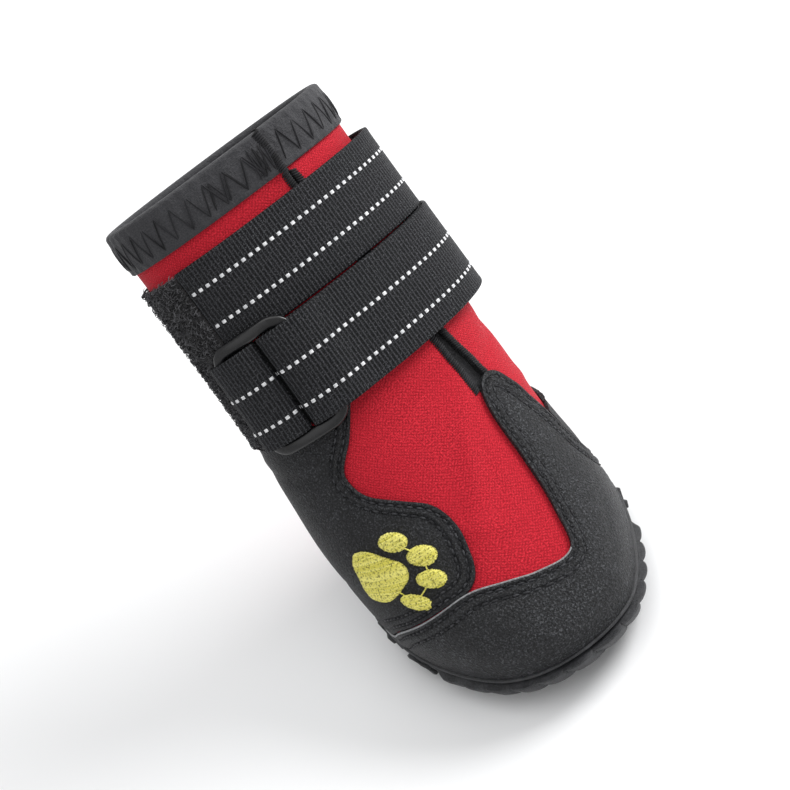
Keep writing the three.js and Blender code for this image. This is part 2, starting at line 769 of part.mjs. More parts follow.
// Raised patch of thread with this outline round a middle point
function threadPatch(part, outline) {
  const perDegree = formPoint(part.angle + 1, part.level, 0).distanceTo(formPoint(part.angle, part.level, 0));
  const perLevel = formPoint(part.angle, part.level + 1, 0).distanceTo(formPoint(part.angle, part.level, 0));
  const count = outline.length;
  const ringAt = (share, out) => outline.map((spot) => {
    const angle = part.angle + (spot.across * share) / perDegree;
    const level = part.level + (spot.along * share) / perLevel;
    return formPoint(angle, level, out);
  });
  const rings = [
    ringAt(1, pawThread.low + seat), ringAt(1, pawThread.high + seat), ringAt(0.6, pawThread.top + seat),
  ];
  const points = rings.flat();
  const low = points.length;
  points.push(formPoint(part.angle, part.level, pawThread.low + seat));
  points.push(formPoint(part.angle, part.level, pawThread.top + seat + 0.1));
  const triangles = [];
  for (let c = 0; c < count; c += 1) {
    const next = (c + 1) % count;
    quad(triangles, c, next, count + next, count + c);
    quad(triangles, count + c, count + next, 2 * count + next, 2 * count + c);
    triangles.push([low, next, c], [low + 1, 2 * count + c, 2 * count + next]);
  }
  return body(points, triangles);
}

// Thin run of thread between two parts of the paw
function threadRun(from, to) {
  const steps = spread(0, 1, 2);
  const side = pawThread.width / 2;
  const rings = steps.map((t) => {
    const angle = from.angle + (to.angle - from.angle) * t;
    const level = from.level + (to.level - from.level) * t;
    const ahead = formPoint(to.angle, to.level, 0).sub(formPoint(from.angle, from.level, 0));
    const face = lastNormal(angle, level);
    const across = ahead.cross(face).normalize();
    return [[-side, pawThread.low], [side, pawThread.low], [side, pawThread.high], [-side, pawThread.high]]
      .map(([u, v]) => formPoint(angle, level, v + seat).addScaledVector(across, u));
  });
  const plan = [[0, 0], [1, 0], [1, 1], [0, 1]].map(([x, y]) => new THREE.Vector2(x, y));
  return loft(rings, false, plan);
}

function toeOutline(toe) {
  return Array.from({ length: pawThread.facets }, (_, i) => {
    const t = (i / pawThread.facets) * 2 * Math.PI;
    return { across: toe.across * Math.cos(t), along: toe.along * Math.sin(t) };
  });
}

// The thread runs from toe to toe and ends in the pad
function makePaw() {
  let paw = threadPatch(pawPad, padOutline);
  for (const toe of pawToes) paw = paw.add(threadPatch(toe, toeOutline(toe)));
  const route = [...pawToes, pawPad];
  for (let i = 0; i < route.length - 1; i += 1) paw = paw.add(threadRun(route[i], route[i + 1]));
  return paw;
}

function node(name, solid, look) {
  const mesh = solid.getMesh();
  const geometry = new THREE.BufferGeometry();
  const flat = new Float32Array(mesh.triVerts.length * 3);
  mesh.triVerts.forEach((v, i) => {
    for (let k = 0; k < 3; k += 1) flat[i * 3 + k] = mesh.vertProperties[v * mesh.numProp + k];
  });
  geometry.setAttribute('position', new THREE.BufferAttribute(flat, 3));
  geometry.translate(-originX, -originY, 0);
  geometry.computeVertexNormals();
  const material = new THREE.MeshStandardMaterial({ ...look, metalness: 0 });
  const made = new THREE.Mesh(geometry, material);
  made.name = name;
  return made;
}

const sideLevels = [
  5.9, 9.2, 12.6, 15.7, 18.8, 22, 25.2, 28.7, 32.2, 34.4, 37.8,
  41, 46, 52, 58.4, 63.2, 68, 72.8, 77.5, 83.2, 90.7,
];
const innerLevels = [5.9, 13, 20.5, 28, 35, 41, 46, 48.5];
const loopLevels = [92, 104, 117.1, 118.2, 140];
const gussetLevels = [69, 75, 90, 108, 126, 143.5];
const gussetHem = 5; // degrees the gusset reaches behind the edges of the split

const group = new THREE.Group();
group.name = 'dog_bootie';
group.add(
  node('outsole', makeOutsole(), { color: 0x222326, roughness: 0.75 }),
  node('upper', makeUpper(), { color: 0xc4122b, roughness: 0.85 }),
  node('insole', makeInsole(), { color: 0x2b2b2d, roughness: 0.95 }),
  node('toe_cap', makeToeCap(), { color: 0x2a2b2f, roughness: 0.6 }),
  node('outer_panel', overlay(outerPanelEdges, sideLevels, 10, leather), {
    color: 0x242529, roughness: 0.65,
  }),
  node('inner_panel', overlay(innerPanelEdges, innerLevels, 8, leather), {
    color: 0x242529, roughness: 0.65,
  }),
  node('collar_binding', makeBinding(), { color: 0x39393d, roughness: 0.8 }),
  node('gusset', makeGusset(), { color: 0x17171a, roughness: 0.9 }),
  node('loop_patch', overlay(loopEdges, loopLevels, 24, loopCloth), {
    color: 0x1d1d1f, roughness: 1,
  }),
  node('upper_strap', band(upperStrapPath, upperStrapLow, upperStrapHigh, webbing), {
    color: 0x1b1c1f, roughness: 0.8,
  }),
  node('lower_strap', band(lowerStrapPath, lowerStrapLow, lowerStrapHigh, webbing), {
    color: 0x1b1c1f, roughness: 0.8,
  }),
  node('ring_tab', band(tabPath, lowerStrapLow, lowerStrapHigh, tabThickness), {
    color: 0x1b1c1f, roughness: 0.8,
  }),
  node('ring', makeRing(), { color: 0x17181a, roughness: 0.3 }),
  node('paw_print', makePaw(), { color: 0xd9c94a, roughness: 0.7 }),
);

export default group;
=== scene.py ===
import math

import bpy
import numpy as np
from mathutils import Matrix, Vector


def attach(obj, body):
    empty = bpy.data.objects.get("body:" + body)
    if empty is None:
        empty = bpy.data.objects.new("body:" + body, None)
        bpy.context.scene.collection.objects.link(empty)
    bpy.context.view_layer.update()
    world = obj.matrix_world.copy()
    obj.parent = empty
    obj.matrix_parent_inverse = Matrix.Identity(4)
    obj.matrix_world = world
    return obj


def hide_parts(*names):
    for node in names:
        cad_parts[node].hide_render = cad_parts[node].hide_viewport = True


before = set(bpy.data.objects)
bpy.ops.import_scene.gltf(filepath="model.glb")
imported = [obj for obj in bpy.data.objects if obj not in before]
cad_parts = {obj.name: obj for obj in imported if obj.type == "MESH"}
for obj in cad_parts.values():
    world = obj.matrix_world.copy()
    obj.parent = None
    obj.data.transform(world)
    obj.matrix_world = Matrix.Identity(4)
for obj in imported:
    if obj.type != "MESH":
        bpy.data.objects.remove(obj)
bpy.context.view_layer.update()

mm = 0.001
random = np.random.default_rng(27)

# Cloth and gaps
wall = 1.4
seat = 0.3
leather = 0.8
capLeather = 1.0
loopCloth = 1.1
webbing = 1.1
tabThick = 0.9
perDegree = 0.57  # width of one degree on the flat pattern
strapDegree = 0.5  # the same along the paths of the straps and the ring
strapLevel = 116  # where the straps' lengths are measured

# Levels up the front of the shoe
soleTop = 5.9
collar = 156
bindingLow = 145.3
lowerStrapLow, lowerStrapHigh = 91, 116.8
upperStrapLow, upperStrapHigh = 117.2, 140.5

# Ground and sole
footHalfWidth, footHalfLength, footMiddle = 33.8, 41.75, -0.25
soleFloor = 4.1
origin = np.array([0.94, 21.99, 0])

soleOutline = dict(
    y=[-41, -38, -33, -26, -17, -8, 0, 8, 17, 27, 35, 40, 41.5],
    outer=[8, 15, 21, 26, 30.5, 33.3, 34.3, 34, 31.2, 26.2, 21.3, 17, 13.5],
    inner=[7, 13.5, 18.5, 23.5, 28.5, 31.8, 33.2, 33, 30.7, 26, 21.2, 17, 13.5],
)

# Sections of the last from the sole to the collar
sections = dict(
    frontY=[-39.6, -40.8, -38.6, -31, -18, -4, 9, 18.5, 26, 35.5, 46, 56, 59.4],
    frontZ=[4.5, 11, 19, 26.5, 34.5, 44, 54.5, 65, 76, 90, 105.5, 120.5, 125.5],
    depth=[78.7, 81, 80.6, 74.6, 63.5, 52.2, 43.2, 38.6, 37, 36, 36, 36, 36],
    tilt=[0, 0, 2, 4.8, 8.8, 15, 23, 30, 33.4, 34, 34, 34, 34],
    half=[31.4, 32.7, 33.2, 33.2, 33.1, 32.9, 32.5, 31.8, 31.4, 31.2, 31.2, 31.4, 31.5],
    square=[2.3, 2.3, 2.25, 2.2, 2.15, 2.1, 2.1, 2.1, 2.1, 2.1, 2.1, 2.1, 2.1],
    foot=[1, 1, 0.9, 0.6, 0.35, 0.15, 0, 0, 0, 0, 0, 0, 0],
    shift=[0, -0.2, -0.8, -1.4, -1.8, -1.5, -0.8, -0.2, 0, 0, 0, 0, 0],
)

splitEdges = dict(
    level=[71.5, 75, 90, 118, 140, 160],
    left=[32.5, 32, 30, 23.5, 19, 16.6],
    right=[42, 41.5, 35, 27, 21.4, 18.8],
)

# Creases of the cloth: middle, direction in degrees, half length, half width and height
creases = dict(
    angle=[8, 2, -6, 14, 22, 60, 70, 95, -70, -95, 128, 150, -150, 175, -20, 40, 100, -100],
    level=[60, 80, 47, 40, 66, 78, 62, 84, 80, 86, 82, 70, 76, 60, 84, 20, 24, 30],
    turn=[62, 12, -30, 40, 75, 10, -14, 6, -8, 12, -6, 8, 10, -4, 4, 30, 0, 10],
    length=[22, 16, 9, 9, 12, 15, 16, 16, 13, 14, 18, 16, 16, 16, 12, 9, 12, 12],
    width=[3.4, 2.6, 2.6, 2.2, 2.2, 2.4, 2.8, 2.3, 2.2, 2.4, 2.6, 2.8, 2.4, 2.8, 1.8, 2.4, 3, 2.6],
    height=[1.1, -0.7, 0.4, -0.4, 0.5, -0.5, 0.4, -0.4, -0.4, 0.3, -0.5, 0.4, -0.4, -0.4,
            -0.3, -0.2, -0.2, -0.25],
)


def smooth(t):
    k = np.clip(t, 0, 1)
    return k * k * (3 - 2 * k)


def curveThrough(xs, ys, at):
    xs, ys = np.asarray(xs, float), np.asarray(ys, float)
    if xs[0] > xs[-1]:
        xs, ys = xs[::-1], ys[::-1]
    index = np.arange(len(xs))
    before, after = np.maximum(index - 1, 0), np.minimum(index + 1, len(xs) - 1)
    slope = (ys[after] - ys[before]) / (xs[after] - xs[before])
    at = np.clip(at, xs[0], xs[-1])
    i = np.clip(np.searchsorted(xs, at) - 1, 0, len(xs) - 2)
    span = xs[i + 1] - xs[i]
    t = (at - xs[i]) / span
    t2, t3 = t * t, t * t * t
    return ((2 * t3 - 3 * t2 + 1) * ys[i] + (t3 - 2 * t2 + t) * slope[i] * span
            + (3 * t2 - 2 * t3) * ys[i + 1] + (t3 - t2) * slope[i + 1] * span)


def edgeAt(edges, side, level):
    return curveThrough(edges["level"], edges[side], level)


def splinePoints(points, closed, perSpan):
    p = np.asarray(points, float)
    count = len(p)
    if closed:
        spans = [(p[i - 1], p[i], p[(i + 1) % count], p[(i + 2) % count]) for i in range(count)]
    else:
        ends = np.vstack([2 * p[0] - p[1], p, 2 * p[-1] - p[-2]])
        spans = [tuple(ends[i:i + 4]) for i in range(count - 1)]
    made = []
    for a, b, c, d in spans:
        first, here, last = (max(np.linalg.norm(v - u) ** 0.5, 1e-6)
                             for u, v in ((a, b), (b, c), (c, d)))
        m1 = ((b - a) / first - (c - a) / (first + here) + (c - b) / here) * here
        m2 = ((c - b) / here - (d - b) / (here + last) + (d - c) / last) * here
        t = (np.arange(perSpan) / perSpan)[:, None]
        made.append((2 * t**3 - 3 * t**2 + 1) * b + (t**3 - 2 * t**2 + t) * m1
                    + (3 * t**2 - 2 * t**3) * c + (t**3 - t**2) * m2)
    if not closed:
        made.append(p[-1:])
    return np.vstack(made)


def footOutline():
    inner = list(zip(soleOutline["inner"], soleOutline["y"]))
    outer = [(-x, y) for x, y in zip(soleOutline["outer"], soleOutline["y"])][::-1]
    toe, heel = (0, footMiddle - footHalfLength), (0, footMiddle + footHalfLength)
    line = splinePoints([toe, *inner, heel, *outer], True, 26)
    across, forward = line[:, 0] / footHalfWidth, (footMiddle - line[:, 1]) / footHalfLength
    turn = np.arctan2(across, forward)
    order = np.argsort(turn)
    return turn[order], np.hypot(across, forward)[order]


footTurn, footReach = footOutline()


def lift(y):
    toe = np.maximum(0, -22 - y) / 20
    along = np.clip((y - 2) / 16, 0, 1)
    return 4 * toe * toe + 0.8 * np.sin(along * math.pi) ** 2


chords = np.hypot(np.diff(sections["frontY"]), np.diff(sections["frontZ"])) * 1.005
levels = np.concatenate([[0], np.cumsum(chords)])


def lastPoint(angle, level):
    angle, level = np.broadcast_arrays(np.asarray(angle, float), np.asarray(level, float))
    row = {key: curveThrough(levels, values, level) for key, values in sections.items()}
    s, c = np.sin(np.radians(angle)), np.cos(np.radians(angle))
    power = 2 / row["square"]
    across = np.sign(s) * np.abs(s) ** power
    forward = np.sign(c) * np.abs(c) ** power
    turn = np.arctan2(across, forward)
    radius = np.interp(turn, footTurn, footReach, period=2 * math.pi)
    foot = row["foot"]
    across = across * (1 - foot) + np.sin(turn) * radius * foot
    forward = forward * (1 - foot) + np.cos(turn) * radius * foot
    reach, lean = row["depth"] / 2, np.radians(row["tilt"])
    x = row["shift"] + row["half"] * across
    y = row["frontY"] + reach * (1 - forward) * np.cos(lean)
    z = row["frontZ"] - reach * (1 - forward) * np.sin(lean)
    z = z + lift(y) * (1 - smooth((z - 12) / 22))
    return np.stack([x, y, z], -1)


def unit(v):
    return v / np.maximum(np.linalg.norm(v, axis=-1, keepdims=True), 1e-12)


def lastNormal(angle, level):
    angle, level = np.asarray(angle, float), np.asarray(level, float)
    around = lastPoint(angle + 1, level) - lastPoint(angle - 1, level)
    up = lastPoint(angle, level + 0.4) - lastPoint(angle, level - 0.4)
    return unit(np.cross(around, up))


def creaseHeight(angle, level):
    height = 0.1 * np.sin(np.radians(angle) * 5 + level * 0.12) * np.sin(level * 0.09 + 1)
    for middle, middleLevel, degrees, length, width, tall in zip(*creases.values()):
        x = ((angle - middle + 180) % 360 - 180) * perDegree
        y = level - middleLevel
        turn = math.radians(degrees)
        along = x * math.cos(turn) + y * math.sin(turn)
        aside = y * math.cos(turn) - x * math.sin(turn)
        height = height + tall * np.exp(-(along / length) ** 2 - (aside / width) ** 2)
    # The creases fade out at the sole and are faint under the straps
    return height * smooth((level - 9) / 12) * (1 - 0.85 * smooth((level - 88) / 6))


# The two flaps at the collar: the outer one stands forward, the inner one sinks behind it
flaps = dict(low=139, rise=13, forward=1.9, forwardWidth=34, sink=1.3, sinkWidth=30)


def flapHeight(angle, level):
    turn = (angle + 180) % 360 - 180
    slit = edgeAt(splitEdges, "left", level) + 0.6
    outer = flaps["forward"] * smooth(1 + (turn - slit) / flaps["forwardWidth"])
    inner = -flaps["sink"] * smooth(1 - (turn - slit) / flaps["sinkWidth"])
    return np.where(turn < slit, outer, inner) * smooth((level - flaps["low"]) / flaps["rise"])


# A point of the pattern, laid on the last; out is its height over the softshell
def wrap(angle, level, out):
    angle, level, out = np.broadcast_arrays(*(np.asarray(v, float) for v in (angle, level, out)))
    over = np.maximum(0, level - collar)
    level = np.minimum(level, collar)
    high = (out + creaseHeight(angle, level) + flapHeight(angle, level))[..., None]
    placed = lastPoint(angle, level) + lastNormal(angle, level) * high
    up = unit(lastPoint(angle, collar + 2.0) - lastPoint(angle, collar))
    return (placed + up * over[..., None] - origin) * mm


# The same, with the direction that stands off the last there
def onLast(angle, level, out):
    return wrap(angle, level, out), lastNormal(angle, np.minimum(level, collar))


# Plan of the foot at a height near the ground, moved out sideways
def footPoint(angle, height, out):
    angle, height, out = np.broadcast_arrays(*(np.asarray(v, float) for v in (angle, height, out)))
    level = np.maximum(0, height - sections["frontZ"][0])
    here = lastPoint(angle, level)
    around = lastPoint(angle + 1, level) - lastPoint(angle - 1, level)
    side = unit(np.stack([around[..., 1], -around[..., 0]], -1))
    x = here[..., 0] + side[..., 0] * out
    y = here[..., 1] + side[..., 1] * out
    return (np.stack([x, y, height + lift(y)], -1) - origin) * mm


# Mesh helpers

def pointsOf(piece):
    flat = np.empty(len(piece.data.vertices) * 3)
    piece.data.vertices.foreach_get("co", flat)
    return flat.reshape(-1, 3)


def setPoints(piece, points):
    piece.data.vertices.foreach_set("co", np.ascontiguousarray(points, float).ravel())
    piece.data.update()


def onlySelect(piece):
    if bpy.context.object and bpy.context.object.mode != "OBJECT":
        bpy.ops.object.mode_set(mode="OBJECT")
    bpy.ops.object.select_all(action="DESELECT")
    piece.select_set(True)
    bpy.context.view_layer.objects.active = piece


def applied(piece, kind, **settings):
    onlySelect(piece)
    step = piece.modifiers.new(kind.title(), kind)
    for key, value in settings.items():
        setattr(step, key, value)
    bpy.ops.object.modifier_apply(modifier=step.name)


def writeMap(piece, coordinates):
    layer = piece.data.uv_layers.get("pattern") or piece.data.uv_layers.new(name="pattern")
    corner = np.empty(len(piece.data.loops), int)
    piece.data.loops.foreach_get("vertex_index", corner)
    layer.uv.foreach_set("vector", np.ascontiguousarray(coordinates[corner, :2], float).ravel())


def meshFrom(name, points, faces):
    made = bpy.data.meshes.new(name)
    made.from_pydata(points.tolist(), [], faces.tolist() if hasattr(faces, "tolist") else faces)
    made.update()
    piece = bpy.data.objects.new(name, made)
    bpy.context.scene.collection.objects.link(piece)
    return piece


# Four-sided faces between rings of points; closed joins the last ring to the first
def ringFaces(count, sides, closed=False):
    spans = count if closed else count - 1
    r, c = np.meshgrid(np.arange(spans), np.arange(sides), indexing="ij")
    here, there, beyond = r * sides, (r + 1) % count * sides, (c + 1) % sides
    faces = np.stack([here + c, here + beyond, there + beyond, there + c], -1)
    return faces.reshape(-1, 4).tolist()


# Closed body through rings of the plan, from the first ring to the last
def bodyThrough(name, rings):
    points = np.stack(rings)
    count, sides, _ = points.shape
    faces = ringFaces(count, sides)
    faces.append(list(range(sides)))
    faces.append(list(range((count - 1) * sides, count * sides)))
    return meshFrom(name, points.reshape(-1, 3), faces)


def tidyNormals(piece, merge=True):
    onlySelect(piece)
    bpy.ops.object.mode_set(mode="EDIT")
    bpy.ops.mesh.select_all(action="SELECT")
    if merge:
        bpy.ops.mesh.remove_doubles(threshold=0.000001)
    bpy.ops.mesh.normals_make_consistent(inside=False)
    bpy.ops.object.mode_set(mode="OBJECT")


def shaded(piece, degrees=40):
    onlySelect(piece)
    bpy.ops.object.shade_smooth_by_angle(angle=math.radians(degrees))


def keep(piece, slotName, *nodes):
    if nodes:
        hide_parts(*nodes)
    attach(piece, "root")


def dress(piece, finish, slotName, *nodes):
    piece.data.materials.append(finish)
    keep(piece, slotName, *nodes)


# Flat cloth cut to its pattern, with a thickness and rounded edges, still in pattern millimetres
def cutCloth(name, across, up, pattern, thick, rim, offset=1):
    bpy.ops.object.select_all(action="DESELECT")
    bpy.ops.mesh.primitive_grid_add(x_subdivisions=across, y_subdivisions=up, size=2)
    cloth = bpy.context.object
    cloth.name = cloth.data.name = name
    flat = pointsOf(cloth)
    x, y = pattern((flat[:, 0] + 1) / 2, (flat[:, 1] + 1) / 2)
    setPoints(cloth, np.stack([x, y, np.zeros(len(x))], -1))
    if thick:
        applied(cloth, "SOLIDIFY", thickness=thick, offset=offset)
    if rim:
        applied(cloth, "BEVEL", width=rim, segments=3, limit_method="ANGLE", angle_limit=1.0)
    return cloth


# Lays cut cloth on the last; relief gives extra height to its upper face
def layOn(cloth, base, relief=None, thick=0):
    flat = pointsOf(cloth)
    writeMap(cloth, flat)
    high = base + flat[:, 2]
    if relief is not None:
        high = high + relief(flat) * smooth(flat[:, 2] / max(thick, 0.01))
    setPoints(cloth, wrap(flat[:, 0] / perDegree, flat[:, 1], high))


def nearLine(line, flat):
    best = np.full(len(flat), 1e9)
    for start in range(0, len(flat), 4000):
        part = flat[start:start + 4000, None, :2] - line[None]
        best[start:start + 4000] = np.sqrt((part ** 2).sum(-1).min(-1))
    return best


# Line on the pattern moved sideways; positive is to the left of its direction
def beside(line, inset):
    way = unit(np.gradient(line, axis=0))
    return line + np.stack([-way[:, 1], way[:, 0]], -1) * inset


def evenly(line, pitch):
    length = np.concatenate([[0], np.cumsum(np.linalg.norm(np.diff(line, axis=0), axis=1))])
    count = max(2, int(length[-1] / pitch))
    at = np.linspace(0, length[-1], count + 1)
    return np.stack([np.interp(at, length, line[:, k]) for k in range(line.shape[1])], -1)


# Thin round threads along many paths at once
def threads(name, paths, ups, radius, sides=6, taper=0.45):
    paths, ups = np.asarray(paths), unit(np.asarray(ups))
    count, steps, _ = paths.shape
    way = unit(np.gradient(paths, axis=1))
    aside = unit(np.cross(way, ups))
    over = np.cross(aside, way)
    shape = np.ones(steps)
    shape[0] = shape[-1] = taper
    size = (np.broadcast_to(np.asarray(radius, float).reshape(-1, 1), (count, steps)) * shape)
    turn = np.arange(sides) / sides * 2 * math.pi
    ring = (aside[:, :, None] * np.cos(turn)[None, None, :, None]
            + over[:, :, None] * np.sin(turn)[None, None, :, None])
    points = (paths[:, :, None] + ring * size[:, :, None, None]).reshape(-1, 3)
    one = np.array(ringFaces(steps, sides))
    starts = np.arange(count) * steps * sides
    faces = (starts[:, None, None] + one[None]).reshape(-1, 4).tolist()
    for start in starts:
        faces.append(list(range(start + sides - 1, start - 1, -1)))
        end = start + (steps - 1) * sides
        faces.append(list(range(end, end + sides)))
    piece = meshFrom(name, points, faces)
    tone = piece.data.attributes.new("tone", "FLOAT", "POINT")
    tone.data.foreach_set("value", np.repeat(random.random(count), steps * sides))
    shaded(piece, 60)
    return piece


# Paths and their upward directions, put together from several sets
def joined(sets):
    return [np.concatenate([one[k] for one in sets]) for k in (0, 1)]


# Stitches of the leather, which dip into it at both ends
stitchPlan = dict(pitch=2.3, gap=0.8, radius=0.24, rise=[-0.16, 0.06, 0.1, 0.06, -0.16])


def stitchPaths(line, height):
    stops = evenly(line, stitchPlan["pitch"])
    a, b = stops[:-1], stops[1:]
    blank = stitchPlan["gap"] / stitchPlan["pitch"] / 2
    share = np.linspace(blank, 1 - blank, 5)[None, :, None]
    spots = a[:, None] * (1 - share) + b[:, None] * share
    return onLast(spots[..., 0] / perDegree, spots[..., 1], height + np.array(stitchPlan["rise"])[None])


def seams(name, lines, height, slotName):
    paths, ups = joined([stitchPaths(line, height) for line in lines])
    dress(threads(name, paths, ups, stitchPlan["radius"] * mm), seamThread, slotName)


# Finishes

def feed(tree, socket, value):
    if isinstance(value, bpy.types.NodeSocket):
        tree.links.new(value, socket)
    else:
        socket.default_value = value


def put(tree, kind, sockets=None, **settings):
    node = tree.nodes.new(kind)
    for key, value in settings.items():
        setattr(node, key, value)
    for key, value in (sockets or {}).items():
        feed(tree, node.inputs[key], value)
    return node


def newFinish(name, mapping):
    made = bpy.data.materials.new(name)
    made.use_nodes = True
    tree = made.node_tree
    return made, tree, tree.nodes["Principled BSDF"], mapping(tree)


def patternMap(tree):
    return put(tree, "ShaderNodeUVMap", uv_map="pattern").outputs["UV"]


def objectMap(tree):
    return put(tree, "ShaderNodeTexCoord").outputs["Object"]


def bodyMap(tree):
    return put(tree, "ShaderNodeMapping", {"Vector": objectMap(tree), "Scale": (1000, 1000, 1000)}).outputs[0]


def noise(tree, spot, scale, detail=4, roughness=0.6):
    return put(tree, "ShaderNodeTexNoise", {
        "Vector": spot, "Scale": scale, "Detail": detail, "Roughness": roughness}).outputs["Fac"]


def waves(tree, spot, turn, pitch, distort=0.0):
    turned = put(tree, "ShaderNodeMapping", {"Vector": spot, "Rotation": (0, 0, math.radians(turn))})
    return put(tree, "ShaderNodeTexWave", {
        "Vector": turned.outputs[0], "Scale": 0.314 / pitch, "Distortion": distort,
        "Detail": 1.0, "Detail Scale": 2.0}, bands_direction="X").outputs["Fac"]


def times(tree, a, b):
    return put(tree, "ShaderNodeMath", {0: a, 1: b}, operation="MULTIPLY").outputs[0]


def spreadTo(tree, value, low, high, fromLow=0.0, fromHigh=1.0):
    return put(tree, "ShaderNodeMapRange", {
        "Value": value, "From Min": fromLow, "From Max": fromHigh,
        "To Min": low, "To Max": high}).outputs["Result"]


def blendColor(tree, share, a, b):
    a, b = ((*value, 1) if isinstance(value, tuple) else value for value in (a, b))
    return put(tree, "ShaderNodeMix", {0: share, 6: a, 7: b}, data_type="RGBA").outputs[2]


def bumps(tree, height, distance, strength=1.0, under=None):
    sockets = {"Height": height, "Distance": distance * mm, "Strength": strength}
    if under is not None:
        sockets["Normal"] = under
    return put(tree, "ShaderNodeBump", sockets).outputs["Normal"]


def join(tree, shader, **sockets):
    for key, value in sockets.items():
        feed(tree, shader.inputs[key.replace("_", " ")], value)


def softshellFinish():
    made, tree, shader, spot = newFinish("red_softshell", patternMap)
    twill = waves(tree, spot, 38, 0.7, 2.5)
    cross = waves(tree, spot, -52, 0.7, 2.5)
    grain = times(tree, twill, cross)
    mottle = noise(tree, spot, 2.1, 4, 0.75)
    cloud = noise(tree, spot, 0.06, 3)
    weave = spreadTo(tree, grain, 0.0, 1.0, 0.0, 0.45)
    deep = blendColor(tree, weave, (0.29, 0.004, 0.012), (0.5, 0.009, 0.023))
    color = blendColor(tree, spreadTo(tree, mottle, 0.0, 0.9, 0.48, 0.64), deep, (0.76, 0.03, 0.05))
    color = blendColor(tree, spreadTo(tree, cloud, 0.0, 0.3, 0.4, 0.7), color, (0.46, 0.008, 0.022))
    join(tree, shader, Base_Color=color, Roughness=spreadTo(tree, mottle, 0.68, 0.86),
         Sheen_Weight=0.06, Sheen_Roughness=0.4, Specular_IOR_Level=0.2)
    fine = bumps(tree, mottle, 0.22, 1.0, bumps(tree, grain, 0.1, 0.8))
    join(tree, shader, Normal=bumps(tree, noise(tree, spot, 0.28, 3), 0.25, 0.5, fine))
    return made


def liningFinish():
    made, tree, shader, spot = newFinish("dark_lining", patternMap)
    knit = waves(tree, spot, 0, 0.8, 2.0)
    color = blendColor(tree, knit, (0.012, 0.012, 0.014), (0.04, 0.04, 0.045))
    join(tree, shader, Base_Color=color, Roughness=0.95, Sheen_Weight=0.3)
    join(tree, shader, Normal=bumps(tree, knit, 0.2))
    return made


def leatherFinish(name, dark, light, shine, glintShare):
    made, tree, shader, spot = newFinish(name, bodyMap)
    pebble = put(tree, "ShaderNodeTexVoronoi", {"Vector": spot, "Scale": 1.7, "Randomness": 1.0},
                 feature="SMOOTH_F1").outputs["Distance"]
    fine = noise(tree, spot, 2.1, 3, 0.7)
    broad = noise(tree, spot, 0.09, 3)
    color = blendColor(tree, spreadTo(tree, fine, 0.0, 1.0, 0.44, 0.58), dark, light)
    # Pale grey dots where the fine grain stands highest: painted glints of light on the pebbles
    glint = spreadTo(tree, fine, 0.0, glintShare, 0.57, 0.66)
    color = blendColor(tree, glint, color, (0.12, 0.124, 0.133))
    color = blendColor(tree, spreadTo(tree, broad, 0.0, 0.5, 0.4, 0.7), color, dark)
    rough = spreadTo(tree, fine, shine, shine + 0.22)
    join(tree, shader, Base_Color=color, Roughness=rough, Specular_IOR_Level=0.35)
    under = bumps(tree, pebble, 0.5, 1.0)
    join(tree, shader, Normal=bumps(tree, fine, 0.6, 1.0, under))
    return made


def rubberFinish():
    made, tree, shader, spot = newFinish("black_rubber", bodyMap)
    fine = noise(tree, spot, 2.4, 4, 0.7)
    dust = noise(tree, spot, 0.2, 4, 0.65)
    share = spreadTo(tree, fine, 0, 1, 0.42, 0.62)
    color = blendColor(tree, share, (0.009, 0.0095, 0.011), (0.034, 0.035, 0.039))
    color = blendColor(tree, spreadTo(tree, dust, 0, 0.45, 0.48, 0.75), color, (0.085, 0.086, 0.092))
    join(tree, shader, Base_Color=color, Roughness=spreadTo(tree, dust, 0.42, 0.66), Specular_IOR_Level=0.5)
    join(tree, shader, Normal=bumps(tree, fine, 0.16, 1.0))
    return made


def bindingFinish():
    made, tree, shader, spot = newFinish("grey_binding", patternMap)
    fine = noise(tree, spot, 2.2, 5, 0.7)
    weave = waves(tree, spot, 90, 0.45, 0.6)
    share = spreadTo(tree, fine, 0, 1, 0.35, 0.7)
    color = blendColor(tree, share, (0.017, 0.017, 0.02), (0.046, 0.046, 0.051))
    join(tree, shader, Base_Color=color, Roughness=0.66, Sheen_Weight=0.08, Specular_IOR_Level=0.35)
    under = bumps(tree, weave, 0.05, 0.6)
    join(tree, shader, Normal=bumps(tree, noise(tree, spot, 0.45, 5, 0.65), 0.9, 0.9, under))
    return made


def webbingFinish(name):
    made, tree, shader, spot = newFinish(name, patternMap)
    ribs = waves(tree, spot, 0, 1.02, 0.3)
    strands = waves(tree, spot, 90, 0.55, 0.5)
    fine = noise(tree, spot, 2.4, 4, 0.75)
    thin = spreadTo(tree, ribs, 0.0, 1.0, 0.45, 0.95)
    weave = times(tree, thin, spreadTo(tree, strands, 0.45, 1.0))
    color = blendColor(tree, weave, (0.002, 0.0023, 0.003), (0.05, 0.052, 0.058))
    color = blendColor(tree, spreadTo(tree, fine, 0, 0.8, 0.54, 0.66), color, (0.13, 0.132, 0.142))
    join(tree, shader, Base_Color=color, Roughness=0.6, Specular_IOR_Level=0.18)
    join(tree, shader, Normal=bumps(tree, weave, 0.4, 1.0))
    return made


